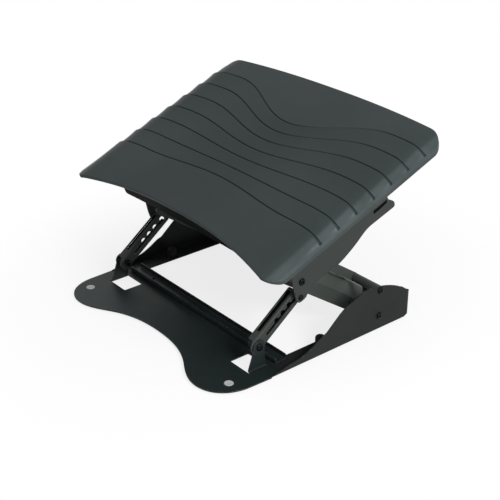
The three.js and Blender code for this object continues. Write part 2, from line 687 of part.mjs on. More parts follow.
function grooveLine(index, x) {
  const outward = Math.max(0, Math.abs(x) - DROOP_START) / (PLATFORM_HALF - DROOP_START);
  const straight = FIRST_GROOVE - GROOVE_PITCH * index - END_DROOP * outward ** 2;
  return straight - (FIRST_BOW - BOW_STEP * index) * bowAt(x);
}

function frontLine(x) {
  const share = Math.min(1, Math.abs(x) / (PLATFORM_HALF - FRONT_CORNER));
  return FRONT_HOLLOW * Math.cos((share * Math.PI) / 2) - PLATFORM_FRONT;
}

function rearLine(x) {
  return PLATFORM_REAR - REAR_BOW * bowAt(x);
}

// Between two grooves the surface climbs to a crest and drops at the groove behind it. Each
// row is a line across the platform and the share of the step's height that it carries.
const ROW_SHARES = [0.045, 0.35, 0.7, 0.93];
const LIFT_SHARES = [0, 0.22, 0.6, 1];

function platformRows() {
  const lines = [frontLine];
  for (let i = GROOVES - 1; i >= 0; i -= 1) {
    lines.push((x) => grooveLine(i, x));
  }
  lines.push(rearLine);
  const rows = [{ line: (x) => frontLine(x) - OVERRUN, lift: 0 }];
  for (let band = 0; band < lines.length - 1; band += 1) {
    const climbs = band < lines.length - 2;
    ROW_SHARES.forEach((share, k) => {
      rows.push({
        line: (x) => lines[band](x) + share * (lines[band + 1](x) - lines[band](x)),
        lift: climbs ? LIFT_SHARES[k] : 0,
      });
    });
  }
  rows.push({ line: (x) => rearLine(x) + OVERRUN, lift: 0 });
  return rows;
}

function underside(x) {
  return -rollDrop(x) - STEP_HEIGHT / 2 - PLATFORM_THICK;
}

function upperSide(x, lift) {
  const fade = THREE.MathUtils.clamp((PLATFORM_HALF - Math.abs(x)) / RELIEF_EDGE, 0, 1);
  return (lift * fade - 1 / 2) * STEP_HEIGHT - rollDrop(x);
}

// A closed grid: layer 0 is the underside, layer 1 the top
function platformSlab() {
  const rows = platformRows();
  const columns = PLATFORM_COLUMNS;
  const reach = PLATFORM_HALF + OVERRUN;
  const places = [];
  for (const layer of [0, 1]) {
    for (const { line, lift } of rows) {
      for (let column = 0; column <= columns; column += 1) {
        const turn = (column / columns - 1 / 2) * Math.PI;
        const x = reach * Math.sin(turn);
        places.push(x, line(x), layer === 1 ? upperSide(x, lift) : underside(x));
      }
    }
  }
  const faces = [];
  const at = (layer, row, column) => (layer * rows.length + row) * (columns + 1) + column;
  const quad = (a, b, c, d) => faces.push(a, b, c, a, c, d);
  const last = rows.length - 1;
  for (let row = 0; row < last; row += 1) {
    for (let i = 0; i < columns; i += 1) {
      quad(at(1, row, i), at(1, row, i + 1), at(1, row + 1, i + 1), at(1, row + 1, i));
      quad(at(0, row, i), at(0, row + 1, i), at(0, row + 1, i + 1), at(0, row, i + 1));
    }
    quad(at(0, row, 0), at(1, row, 0), at(1, row + 1, 0), at(0, row + 1, 0));
    quad(at(0, row, columns), at(0, row + 1, columns), at(1, row + 1, columns), at(1, row, columns));
  }
  for (let i = 0; i < columns; i += 1) {
    quad(at(0, 0, i), at(0, 0, i + 1), at(1, 0, i + 1), at(1, 0, i));
    quad(at(0, last, i), at(1, last, i), at(1, last, i + 1), at(0, last, i + 1));
  }
  const geometry = new THREE.BufferGeometry();
  geometry.setAttribute('position', new THREE.BufferAttribute(new Float32Array(places), 3));
  geometry.setIndex(faces);
  return solid(geometry);
}

// Plan of the platform: straight sides, large round corners, hollow front edge
function platformPlan() {
  const frontRun = PLATFORM_HALF - FRONT_CORNER;
  const rearRun = PLATFORM_HALF - REAR_CORNER;
  const frontCentre = FRONT_CORNER - PLATFORM_FRONT;
  const rearCentre = PLATFORM_REAR - REAR_CORNER;
  const steps = 10;
  const shape = new THREE.Shape();
  shape.moveTo(-frontRun, frontLine(frontRun));
  for (let i = 1; i <= steps; i += 1) {
    const x = frontRun * ((2 * i) / steps - 1);
    shape.lineTo(x, frontLine(x));
  }
  shape.absarc(frontRun, frontCentre, FRONT_CORNER, -Math.PI / 2, 0, false);
  shape.absarc(rearRun, rearCentre, REAR_CORNER, 0, Math.PI / 2, false);
  for (let i = 1; i < steps; i += 1) {
    const x = rearRun * (1 - (2 * i) / steps);
    shape.lineTo(x, rearLine(x));
  }
  shape.absarc(-rearRun, rearCentre, REAR_CORNER, Math.PI / 2, Math.PI, false);
  shape.absarc(-frontRun, frontCentre, FRONT_CORNER, Math.PI, Math.PI * 1.5, false);
  return shape;
}

// Beams and brackets hang from the platform's bosses by one screw at each boss
const beamHalf = BRACKET_INNER - GAP;
const beamTop = underside(beamHalf) - BEAM_CLEARANCE;
const bracketTop = beamTop - BEAM_SHEET - GAP;
const outerFastenerX = BRACKET_INNER - BRACKET_FLANGE / 2;
const fasteners = [];
for (const [row, u] of [['front', FRONT_BEAM_U], ['rear', REAR_BEAM_U]]) {
  for (const [side, x] of [['right', 1], ['left', -1]]) {
    const along = u + FASTENER_SETBACK;
    fasteners.push({ name: `${row}_outer_${side}`, place: [x * outerFastenerX, along], outer: true });
    fasteners.push({ name: `${row}_inner_${side}`, place: [x * INNER_FASTENER_X, along], outer: false });
  }
}

function fastenerHole({ place }, span) {
  return rodAlongZ(FASTENER_RADIUS + GAP, place, past(span), SMALL_SIDES);
}

function platform() {
  const plan = sheetAcrossZ(platformPlan(), past([underside(PLATFORM_HALF), STEP_HEIGHT]), 6);
  const slab = platformSlab().intersect(plan);
  const middle = (place) => underside(place[0]) + PLATFORM_THICK / 2;
  const bosses = fasteners.map(({ place }) => rodAlongZ(
    BOSS_RADIUS, place, [beamTop + GAP, middle(place)], SMALL_SIDES,
  ));
  const bores = fasteners.map(({ place }) => rodAlongZ(
    FASTENER_RADIUS + GAP, place, [beamTop - OVERRUN, middle(place)], SMALL_SIDES,
  ));
  return cut(join(slab, ...bosses), ...bores);
}

function fastener({ place, outer }) {
  const under = outer ? bracketTop - BRACKET_SHEET : beamTop - BEAM_SHEET;
  const seat = under - GAP;
  const top = underside(place[0]) + PLATFORM_THICK / 2 - GAP;
  const shank = rodAlongZ(FASTENER_RADIUS, place, [seat - FASTENER_HEAD_HEIGHT / 2, top], SMALL_SIDES);
  const head = rodAlongZ(FASTENER_HEAD, place, [seat - FASTENER_HEAD_HEIGHT, seat], SMALL_SIDES);
  return join(shank, head);
}

// A beam is an angle: a flange under the platform and a lip at its front edge
function beam(front, { lipHalf, lipDepth, lipRise }) {
  const flange = block([-beamHalf, beamHalf], [front, front + BEAM_FLANGE], [beamTop - BEAM_SHEET, beamTop]);
  const low = beamTop - lipDepth;
  const corner = 2 * BEAM_SHEET;
  const shape = new THREE.Shape();
  shape.moveTo(-lipHalf, beamTop);
  shape.lineTo(-lipHalf, low + corner);
  shape.quadraticCurveTo(-lipHalf, low, corner - lipHalf, low);
  shape.quadraticCurveTo(0, low + 2 * lipRise, lipHalf - corner, low);
  shape.quadraticCurveTo(lipHalf, low, lipHalf, low + corner);
  shape.lineTo(lipHalf, beamTop);
  shape.closePath();
  const lip = sheetAcrossY(shape, [front, front + BEAM_SHEET]);
  const holes = fasteners.map((one) => fastenerHole(one, [beamTop - BEAM_SHEET, beamTop]));
  return cut(join(flange, lip), ...holes);
}

const frontLip = { lipHalf: beamHalf, lipDepth: FRONT_LIP, lipRise: LIP_RISE };
const rearLip = { lipHalf: beamHalf - BRACKET_FLANGE, lipDepth: REAR_LIP, lipRise: 0 };

// A step in Y and Z of the whole object, given along U and W of the platform
function alongPlatform(y, z) {
  const c = Math.cos(PLATFORM_TILT);
  const s = Math.sin(PLATFORM_TILT);
  return [y * c + z * s, z * c - y * s];
}

function fromLowerPivot(y, z) {
  const [u, w] = alongPlatform(y, z);
  return [u - PIVOT_AHEAD, w - PIVOT_BELOW];
}

const frontPivots = { lower: fromLowerPivot(0, 0), upper: fromLowerPivot(0, PIVOT_RISE) };
const notchPinPlace = fromLowerPivot(-PIN_AHEAD, -PIN_DROP);

// Lower edge of the bracket behind the notch pin and its rear edge, as shares of its reach and
// of its depth
const BRACKET_EDGE_SHARES = [
  [-0.029, 1.196], [0.089, 1.146], [0.328, 1.17], [0.503, 1.102], [0.67, 0.996],
  [0.992, 1.02], [0.995, 0.93], [0.915, 0.757],
];

function bracket() {
  const [pinU, pinW] = notchPinPlace;
  const lobeFront = pinU - LOBE_RADIUS;
  const outline = roundedShape([
    [-BRACKET_FRONT, bracketTop, 0],
    [-BRACKET_FRONT, pinW + PIN_DROP + LOBE_RADIUS, LOBE_RADIUS / 2],
    [lobeFront, pinW + LOBE_RADIUS, LOBE_RADIUS],
    [lobeFront, pinW - LOBE_RADIUS, LOBE_RADIUS],
    [pinU + LOBE_RADIUS, pinW - LOBE_RADIUS, LOBE_RADIUS / 2],
    ...BRACKET_EDGE_SHARES.map(([along, down]) => [
      along * BRACKET_REAR, -down * BRACKET_DEPTH, BRACKET_CORNER,
    ]),
    [BRACKET_TOP_REAR, bracketTop, 0],
  ]);
  const across = [BRACKET_INNER, BRACKET_OUTER];
  const plate = sheetAcrossX(outline, across);
  const flangeAcross = [BRACKET_INNER - BRACKET_FLANGE, BRACKET_OUTER];
  const flangeDepth = [bracketTop - BRACKET_SHEET, bracketTop];
  const flange = block(flangeAcross, [-BRACKET_FRONT, BRACKET_TOP_REAR], flangeDepth);
  const pivots = Object.values(frontPivots).map((place) => rodAlongX(
    SCREW_RADIUS + GAP, past(across), place, SMALL_SIDES,
  ));
  const pinHole = rodAlongX(NOTCH_PIN_RADIUS + GAP, past(across), notchPinPlace);
  const holes = fasteners.filter(({ outer }) => outer).map((one) => fastenerHole(one, flangeDepth));
  return cut(join(plate, flange), pinHole, ...pivots, ...holes);
}

// Notch pin: headed stub through the bracket, ending just short of the strut
function notchPin() {
  const seat = BRACKET_OUTER + GAP;
  const stub = rodAlongX(NOTCH_PIN_RADIUS, [STRUT_OUTER + GAP, seat + GAP], notchPinPlace);
  const head = rodAlongX(NOTCH_HEAD_RADIUS, [seat, seat + PIN_HEAD_HEIGHT], notchPinPlace);
  return join(stub, head);
}

const platformGroup = new THREE.Group();
const [crownY, crownZ] = [
  PIVOT_AHEAD * Math.cos(PLATFORM_TILT) - PIVOT_BELOW * Math.sin(PLATFORM_TILT),
  PIVOT_AHEAD * Math.sin(PLATFORM_TILT) + PIVOT_BELOW * Math.cos(PLATFORM_TILT),
];
platformGroup.position.set(0, FRONT_Y + crownY, FRONT_Z + crownZ);
platformGroup.rotation.x = PLATFORM_TILT;
platformGroup.add(named('platform', platform(), 'moulding'));
platformGroup.add(named('front_beam', beam(FRONT_BEAM_U, frontLip), 'plate'));
platformGroup.add(named('rear_beam', beam(REAR_BEAM_U, rearLip), 'plate'));
for (const [side, turned] of SIDES) {
  platformGroup.add(named(`bracket_${side}`, turned(bracket()), 'steel'));
  platformGroup.add(named(`notch_pin_${side}`, turned(notchPin()), 'fastener'));
  for (const [level, place] of Object.entries(frontPivots)) {
    const sleeve = turned(axleSleeve(frontAxleHalf, place));
    const screw = turned(axleScrew(BRACKET_OUTER, frontAxleHalf, place));
    platformGroup.add(named(`front_${level}_sleeve_${side}`, sleeve, 'nylon'));
    platformGroup.add(named(`front_${level}_screw_${side}`, screw, 'fastener'));
  }
}
for (const [level, place] of Object.entries(frontPivots)) {
  platformGroup.add(named(`front_${level}_axle`, axle(frontAxleHalf, place), 'bright'));
}
for (const one of fasteners) {
  platformGroup.add(named(`platform_screw_${one.name}`, fastener(one), 'fastener'));
}
footrest.add(platformGroup);

// The origin is the middle of the whole object's footprint, on the floor
footrest.updateMatrixWorld(true);
const extent = new THREE.Box3().setFromObject(footrest, true);
const centre = extent.getCenter(new THREE.Vector3());
footrest.position.set(-centre.x, -centre.y, -extent.min.z);
footrest.updateMatrixWorld(true);

export default footrest;
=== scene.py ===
"""Under desk footrest: the looks of each piece, drawn in millimetres in its own frame and put
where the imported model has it."""

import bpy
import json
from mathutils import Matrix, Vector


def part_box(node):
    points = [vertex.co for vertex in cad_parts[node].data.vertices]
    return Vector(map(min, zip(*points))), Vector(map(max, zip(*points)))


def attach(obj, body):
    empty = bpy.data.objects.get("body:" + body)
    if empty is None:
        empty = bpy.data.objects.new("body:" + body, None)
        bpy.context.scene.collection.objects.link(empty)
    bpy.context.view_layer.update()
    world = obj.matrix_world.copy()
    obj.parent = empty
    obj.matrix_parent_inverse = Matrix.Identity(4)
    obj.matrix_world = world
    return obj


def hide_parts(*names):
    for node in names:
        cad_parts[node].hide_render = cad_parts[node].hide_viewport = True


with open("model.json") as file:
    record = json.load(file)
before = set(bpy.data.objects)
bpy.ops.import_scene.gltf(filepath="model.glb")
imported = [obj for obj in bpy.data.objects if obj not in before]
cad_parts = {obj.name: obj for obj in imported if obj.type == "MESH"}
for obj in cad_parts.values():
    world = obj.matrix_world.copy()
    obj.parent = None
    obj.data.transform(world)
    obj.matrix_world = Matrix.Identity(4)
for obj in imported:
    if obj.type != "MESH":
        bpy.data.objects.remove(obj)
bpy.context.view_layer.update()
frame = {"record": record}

import json
import math

import bpy
import numpy as np
from mathutils import Vector
from mathutils.geometry import delaunay_2d_cdt

RIGHT_ANGLE = math.pi / 2
SIDES = {"right": 1, "left": -1}


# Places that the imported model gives, in millimetres
def extent(node):
    low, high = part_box(node)
    return np.array(low) * 1000, np.array(high) * 1000


def middle(node):
    low, high = extent(node)
    return (low + high) / 2


# SHIFT carries Y from the base's own frame, which starts at the opening, to the model's
BASE_SHEET, BASE_FRONT = 2.0, 128.0
plate_low, plate_high = extent("base_front_plate")
BASE_HALF = plate_high[0]
PLATE_UNDER = plate_low[2]
PLATE_TOP = extent("side_rail_right")[0][2] + BASE_SHEET
SHIFT = plate_low[1] + BASE_FRONT
rear_lower = middle("rear_lower_axle")
rear_upper = middle("rear_upper_axle")
front_lower = middle("front_lower_axle")
front_upper = middle("front_upper_axle")
strut_pivot = middle("strut_pivot_right") * (0, 1, 1)
notch_pin = middle("notch_pin_right") * (0, 1, 1)
link = front_lower - rear_lower
LINK_LENGTH = float(np.hypot(link[1], link[2]))
LINK_TURN = -math.atan2(link[2], -link[1])
NOTCH_LIFT = 2.6
reach = notch_pin - strut_pivot
PIN_REACH = float(np.hypot(reach[1], reach[2]))
TOP_NOTCH = math.sqrt(PIN_REACH ** 2 - NOTCH_LIFT ** 2)
STRUT_TURN = math.atan2(reach[2], reach[1]) - math.asin(NOTCH_LIFT / PIN_REACH)
TILT = math.radians(21.4)
PLATFORM_HALF = extent("platform")[1][0]


def along_platform(step):
    """A step in Y and Z, given along U up the platform's slope and W out of it."""
    c, s = math.cos(TILT), math.sin(TILT)
    return step[1] * c + step[2] * s, step[2] * c - step[1] * s


# The platform's own frame starts at its crown, where U and W of the lower front pivot are these
LOWER_PIVOT = (-8.1, -90.6)
CROWN = front_lower - (0, LOWER_PIVOT[0] * math.cos(TILT) - LOWER_PIVOT[1] * math.sin(TILT),
                       LOWER_PIVOT[0] * math.sin(TILT) + LOWER_PIVOT[1] * math.cos(TILT))


def on_platform(point):
    return np.array(along_platform(point - CROWN))


UPPER_PIVOT = on_platform(front_upper)
PIN_PLACE = on_platform(notch_pin)

# Fasteners and the holes for them, as radii, lengths and thicknesses
SCREW_HOLE, PLATFORM_HOLE, AXLE_HOLE, STRUT_HOLE = 2.7, 2.3, 4.35, 3.75
HEAD_RADIUS, HEAD_HEIGHT, SCREW_RADIUS = 5.0, 2.6, 2.4
AXLE_RADIUS, AXLE_BORE_DEPTH = 4.0, 11.3
SLEEVE_RADIUS, SLEEVE_BORE, BUSH_BORE = 6.2, 4.3, 3.7
PIN_RADIUS, PIN_HEAD_RADIUS, PIN_HEAD_HEIGHT = 3.4, 5.2, 2.0
NUT_RADIUS, NUT_HEIGHT = 5.0, 3.4
NOTCH_PIN_RADIUS, NOTCH_HEAD_RADIUS = 2.2, 4.0


# Shapes
class Shape:
    """Points in millimetres, faces of four and of three corners, and a mark at each point: up to
    1 for wear on a rubbed edge, on the platform's roll also a painted highlight, and below 0 for
    shade painted into a groove or along where the roll begins."""

    def __init__(self, points, quads=(), tris=(), worn=None):
        self.points = np.asarray(points, float).reshape(-1, 3)
        self.quads = np.asarray(quads, int).reshape(-1, 4)
        self.tris = np.asarray(tris, int).reshape(-1, 3)
        self.worn = np.zeros(len(self.points)) if worn is None else np.asarray(worn, float)

    def __add__(self, other):
        step = len(self.points)
        return Shape(
            np.vstack([self.points, other.points]),
            np.vstack([self.quads, other.quads + step]),
            np.vstack([self.tris, other.tris + step]),
            np.concatenate([self.worn, other.worn]),
        )

    def moved(self, origin, turn=0.0):
        """The shape turned about X, then carried to the origin given."""
        c, s = math.cos(turn), math.sin(turn)
        about_x = np.array([[1, 0, 0], [0, c, -s], [0, s, c]])
        return Shape(self.points @ about_x.T + np.asarray(origin), self.quads, self.tris, self.worn)

    def mirrored(self):
        return Shape(self.points * (-1, 1, 1), self.quads[:, ::-1], self.tris[:, ::-1], self.worn)

    def welded(self):
        """Points that fall together are made one, and faces that lose a corner by it shrink."""
        keys = np.round(self.points * 500 + 0.137).astype(np.int64)
        _, first, place = np.unique(keys, axis=0, return_index=True, return_inverse=True)
        place = place.ravel()
        quads, tris = place[self.quads], place[self.tris]
        same = quads == np.roll(quads, -1, 1)
        short = [np.delete(quads[same[:, k] & (same.sum(1) == 1)], k, 1) for k in range(4)]
        tris = np.vstack([tris, *short])
        whole = (tris != np.roll(tris, -1, 1)).all(1)
        worn = np.zeros(len(first))
        np.maximum.at(worn, place, self.worn)
        return Shape(self.points[first], quads[~same.any(1)], tris[whole], worn)

    def outward(self):
        """The faces turned round where the volume that they enclose comes out negative."""
        halves = np.vstack([self.tris, self.quads[:, [0, 1, 2]], self.quads[:, [0, 2, 3]]])
        a, b, c = (self.points[halves[:, k]] for k in range(3))
        if (a * np.cross(b, c)).sum() < 0:
            return Shape(self.points, self.quads[:, ::-1], self.tris[:, ::-1], self.worn)
        return self

    def normals(self):
        """At each point, the sum of its faces' normals, each as long as its face is large."""
        total = np.zeros_like(self.points)
        for faces, (a, b, c, d) in ((self.quads, (0, 2, 1, 3)), (self.tris, (0, 1, 0, 2))):
            across = self.points[faces[:, b]] - self.points[faces[:, a]]
            area = np.cross(across, self.points[faces[:, d]] - self.points[faces[:, c]])
            for k in range(faces.shape[1]):
                np.add.at(total, faces[:, k], area)
        return total / np.maximum(np.linalg.norm(total, axis=1), 1e-12)[:, None]


def lattice(rows, columns, closed=False):
    """Faces of a grid whose points are counted row by row; closed joins its last column on."""
    here = np.arange(rows * columns).reshape(rows, columns)
    beside = np.roll(here, -1, 1)
    faces = np.stack([here[:-1], beside[:-1], beside[1:], here[1:]], -1)
    return faces[:, : columns if closed else columns - 1]


body_of_node = {node: body for body, nodes in frame["record"]["behaviour"]["bodies"].items()
                for node in nodes}


def add_piece(name, shape, finish, node):
    """A mesh object from the shape, in metres, standing for its CAD node on that node's body."""
    shape = shape.welded().outward()
    mesh = bpy.data.meshes.new(name)
    mesh.from_pydata((shape.points / 1000).tolist(), [], shape.quads.tolist() + shape.tris.tolist())
    mesh.polygons.foreach_set("use_smooth", np.ones(len(mesh.polygons), bool))
    # The mark stored here is wear, and on the platform also painted shade and a painted highlight.
    worn = mesh.attributes.new("worn", "FLOAT", "POINT")
    worn.data.foreach_set("value", shape.worn.astype(np.float32))
    mesh.normals_split_custom_set_from_vertices(shape.normals().tolist())
    mesh.materials.append(finish.material)
    piece = bpy.data.objects.new(name, mesh)
    bpy.context.scene.collection.objects.link(piece)
    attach(piece, body_of_node[node])
    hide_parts(node)


def add_pair(name, shape, finish, node):
    """The shape as drawn for the right side, and its mirror image for the left one."""
    for side, one in (("right", shape), ("left", shape.mirrored())):
        add_piece(name.format(side), one, finish, node.format(side))


# Outlines
def rounded(corners, steps=8):
    """A closed outline from corners (across, up, radius): each corner is the parabola that
    leaves one side and meets the next at its radius from the corner."""
    corners = np.array([(*c, 0)[:3] for c in corners], float)
    here, radius = corners[:, :2], corners[:, 2]
    back, ahead = np.roll(here, 1, 0) - here, np.roll(here, -1, 0) - here
    long_back, long_ahead = np.linalg.norm(back, axis=1), np.linalg.norm(ahead, axis=1)
    r = np.minimum(radius, np.minimum(long_back, long_ahead) / 2)
    start = here + back * (r / long_back)[:, None]
    end = here + ahead * (r / long_ahead)[:, None]
    t = np.linspace(0, 1, steps + 1)[None, :, None]
    bend = start[:, None] * (1 - t) ** 2 + 2 * here[:, None] * t * (1 - t) + end[:, None] * t ** 2
    return thinned(bend.reshape(-1, 2))


def thinned(loop):
    """The loop without points that repeat the one before."""
    return loop[np.linalg.norm(loop - np.roll(loop, 1, 0), axis=1) > 1e-3]


def ring(centre, radius, count=36):
    """A circle run clockwise, as a hole's edge is."""
    turn = -np.linspace(0, 2 * math.pi, count, endpoint=False)
    return np.array(centre) + radius * np.stack([np.cos(turn), np.sin(turn)], 1)


def bezier(start, ahead, back, end, steps=24):
    """A cubic curve from start to end, without its first point."""
    t = np.linspace(0, 1, steps + 1)[1:, None]
    start, ahead, back, end = map(np.array, (start, ahead, back, end))
    return (start * (1 - t) ** 3 + 3 * ahead * t * (1 - t) ** 2
            + 3 * back * t ** 2 * (1 - t) + end * t ** 3)


def area_of(loop):
    """The area inside the loop, below zero where it runs clockwise."""
    after = np.roll(loop, -1, 0)
    return (loop[:, 0] * after[:, 1] - loop[:, 1] * after[:, 0]).sum() / 2


def inside(points, loops):
    """Whether each point has an odd number of the loops' edges to its right."""
    starts = np.concatenate(loops)
    ends = np.concatenate([np.roll(loop, -1, 0) for loop in loops])
    across, up = points[:, :1], points[:, 1:]
    crosses = (starts[:, 1] > up) != (ends[:, 1] > up)
    rise = np.where(ends[:, 1] == starts[:, 1], 1e-12, ends[:, 1] - starts[:, 1])
    at = starts[:, 0] + (up - starts[:, 1]) / rise * (ends[:, 0] - starts[:, 0])
    return (crosses & (at > across)).sum(1) % 2 == 1


def filled(loops, lines):
    """Triangles between the loops, with the lines, pairs of points by number, kept as edges."""
    points = np.concatenate(loops)
    edges, first = [], 0
    for loop in loops:
        here = first + np.arange(len(loop))
        edges += np.stack([here, np.roll(here, -1)], 1).tolist()
        first += len(loop)
    found = delaunay_2d_cdt([Vector(p) for p in points], edges + lines, [], 0, 1e-6)
    number = np.array([origin[0] if origin else -1 for origin in found[3]])
    tris = number[np.array(found[2])]
    tris = tris[(tris >= 0).all(1)]
    return tris[inside(points[tris].mean(1), loops)]


# Sheet metal
class Section:
    """The bent line of a sheet's outer face: straight runs between corners (a, b, radius),
    joined by arcs. `side` is 1 where the metal lies to the left of the line, -1 to its right."""

    def __init__(self, corners, side=1, steps=6):
        corners = np.array([(*c, 0)[:3] for c in corners], float)
        spots, bends = corners[:, :2], corners[:, 2]
        runs = np.diff(spots, axis=0)
        ways = runs / np.linalg.norm(runs, axis=1)[:, None]
        points, headings, lengths, self.folds = [spots[0]], [math.atan2(*ways[0][::-1])], [0.0], []
        self.runs = []
        for i in range(1, len(spots)):
            before = ways[i - 1]
            turn, radius = 0.0, bends[i]
            if i < len(spots) - 1:
                after = ways[i]
                turn = math.atan2(before[0] * after[1] - before[1] * after[0], before @ after)
            start = spots[i] - before * radius * math.tan(abs(turn) / 2)
            run = np.linalg.norm(start - points[-1])
            self.runs.append((lengths[-1], points[-1], before, run))
            points.append(start)
            headings.append(headings[-1])
            lengths.append(lengths[-1] + run)
            if turn:
                toward = math.copysign(1, turn) * np.array([-before[1], before[0]])
                share = np.linspace(0, 1, steps + 1)[1:]
                swept = abs(turn) * share
                points += list(start + radius * (np.sin(swept)[:, None] * before
                                                 + (1 - np.cos(swept))[:, None] * toward))
                headings += list(headings[-1] + turn * share)
                self.folds += [lengths[-1], *(lengths[-1] + radius * swept)]
                lengths += list(lengths[-1] + radius * swept)
        self.points, self.headings, self.lengths = np.array(points), headings, lengths
        self.length, self.side = lengths[-1], side

    def at(self, s, depth):
        """Where the line is after a distance s, then a depth into the metal."""
        a = np.interp(s, self.lengths, self.points[:, 0])
        b = np.interp(s, self.lengths, self.points[:, 1])
        heading = np.interp(s, self.lengths, self.headings)
        return a - self.side * depth * np.sin(heading), b + self.side * depth * np.cos(heading)

    def along(self, a, b):
        """How far along the line the straight run nearest to the point (a, b) has it."""
        best = None
        for start, spot, way, run in self.runs:
            step = np.array([a, b], float) - spot
            on = min(max(step @ way, 0), run)
            off = np.linalg.norm(step - on * way)
            if best is None or off < best[0] - 1e-9:
                best = (off, start + on)
        return best[1]


def crossed(loop, folds):
    """The loop with a point added wherever it crosses a fold line."""
    start, end = loop, np.roll(loop, -1, 0)
    run = end[:, :1] - start[:, :1]
    share = (np.array(folds)[None] - start[:, :1]) / np.where(run == 0, 1e-12, run)
    edge, fold = np.nonzero((share > 1e-4) & (share < 1 - 1e-4)) if folds else ([], [])
    edge, part = np.asarray(edge, int), share[edge, fold] if folds else np.zeros(0)
    added = start[edge] + (end[edge] - start[edge]) * part[:, None]
    if folds:
        added[:, 0] = np.array(folds)[fold]
    order = np.argsort(np.concatenate([np.arange(len(loop)), edge + part]), kind="stable")
    return np.vstack([loop, added])[order]


def mitres(loop, left_open):
    """For each corner, the step that moves both of its edges inwards by one. An edge left open
    isn't moved: the corner slides along it."""
    ahead = np.roll(loop, -1, 0) - loop
    normal = np.stack([-ahead[:, 1], ahead[:, 0]], 1) / np.linalg.norm(ahead, axis=1)[:, None]
    before = np.roll(normal, 1, 0)
    open_before = np.roll(left_open, 1)
    normal = np.where(left_open[:, None], before, normal)
    before = np.where(open_before[:, None], normal, before)
    total = normal + before
    return 2 * total / np.maximum((total ** 2).sum(1), 0.5)[:, None]


# How far in, as a share of the edge's radius, and how deep each row of a sheet's rim lies
QUARTER = np.linspace(0, RIGHT_ANGLE, 4)
RIM_WORN = np.array([0, 0.8, 1, 0.25, 0.25, 1, 0.8, 0])


def folded(section, loops, sheet, axes, edge=0.35, left_open=None):
    """A sheet cut to the loops in (s, t), the first the outside and the rest holes, and bent
    along the section: s runs along its line and t across it. The rim goes round the edge in a
    quarter circle from each face. `axes` names what a, b and t are of X, Y and Z."""
    inset = edge * (1 - np.sin(QUARTER))
    depth = edge * (1 - np.cos(QUARTER))
    inset = np.concatenate([inset, inset[::-1]])
    depth = np.concatenate([depth, sheet - depth[::-1]])
    order = ["xyz".index(axis) for axis in axes]

    def bent(flat, deep):
        a, b = section.at(flat[..., 0], deep)
        points = np.empty(flat.shape[:-1] + (3,))
        points[..., order[0]], points[..., order[1]], points[..., order[2]] = a, b, flat[..., 1]
        return points.reshape(-1, 3)

    whole, outlines, inner, marks = None, [], [], []
    for i, loop in enumerate(loops):
        loop = thinned(np.asarray(loop, float))
        if (area_of(loop) < 0) == (i == 0):
            loop = loop[::-1]
        loop = crossed(loop, section.folds)
        open_edges = np.zeros(len(loop), bool)
        if left_open:
            axis, values = left_open
            on_line = np.isclose(loop[:, axis, None], values, atol=1e-6).any(1)
            open_edges = on_line & np.roll(on_line, -1)
        step = mitres(loop, open_edges)
        rows = loop + inset[:, None, None] * step
        faces = lattice(len(inset), len(loop), closed=True)[:, ~open_edges].reshape(-1, 4)
        rim = Shape(bent(rows, depth[:, None]), faces, worn=np.repeat(RIM_WORN, len(loop)))
        whole = rim if whole is None else whole + rim
        outlines.append(loop)
        inner.append(rows[0])
        marks.append(loop[:, 0])
    flat, places = np.concatenate(inner), np.concatenate(marks)
    lines = []
    for fold in sorted(set(section.folds)):
        on = np.nonzero(np.abs(places - fold) < 1e-7)[0]
        on = on[np.argsort(flat[on, 1])]
        if len(on) > 1:
            between = (flat[on[:-1]] + flat[on[1:]]) / 2
            lines += np.stack([on[:-1], on[1:]], 1)[inside(between, inner)].tolist()
    tris = filled(inner, lines)
    for deep, faces in ((0.0, tris[:, ::-1]), (sheet, tris)):
        whole = whole + Shape(bent(flat, np.full(len(flat), deep)), tris=faces)
    return whole


# Turned and moulded round pieces
def turned(profile, axis="x", count=48, sides=None):
    """A profile of (along, radius) carried round an axis. `sides` gives rows of the profile the
    outline of a hexagon: the radius is divided by the cosine of the angle from the flat."""
    profile = np.asarray(profile, float)
    turn = np.linspace(0, 2 * math.pi, count, endpoint=False)
    radius = np.repeat(profile[:, 1:], count, 1)
    if sides is not None:
        flat = np.mod(turn, math.pi / 3) - math.pi / 6
        hexagon = profile[:, 1:] / np.cos(flat)
        radius = np.where(np.asarray(sides)[:, None], hexagon, radius)
    along = np.repeat(profile[:, :1], count, 1)
    points = np.stack([along, radius * np.cos(turn), radius * np.sin(turn)], -1)
    points = points[..., {"x": [0, 1, 2], "z": [1, 2, 0]}[axis]]
    return Shape(points, lattice(len(profile), count, closed=True).reshape(-1, 4))


def closed_profile(profile):
    """A profile that returns to where it starts, for a piece with a bore through it."""
    return np.vstack([profile, profile[:1]])


def dome(radius, height, low, high, steps):
    """Rows of a shallow dome between two radii: height falls as an ellipse's."""
    r = np.linspace(low, high, steps)
    return np.stack([height * np.sqrt(1 - (r / radius) ** 2), r], 1)


def socket_screw(seat, radius, height, shank, end, socket=1.55):
    """A button head on a shank along X: a dome with a hexagon socket sunk in its crown."""
    rise = 0.25 * height
    crown = dome(radius, height - rise, radius * 0.97, socket * 1.5, 8) + (seat + rise, 0)
    top = crown[-1, 0]
    rows = [(end, 0), (end, shank - 0.4), (end + 0.4, shank), (seat, shank), (seat, radius - 0.3),
            (seat + 0.2, radius), (seat + rise, radius), *crown, (top + 0.02, socket * 1.3),
            (top, socket), (top - 0.1, socket - 0.08), (top - height * 0.6, socket - 0.08),
            (top - height * 0.75, 0)]
    count = len(rows)
    return turned(rows, sides=[i >= count - 4 and i < count - 1 for i in range(count)])


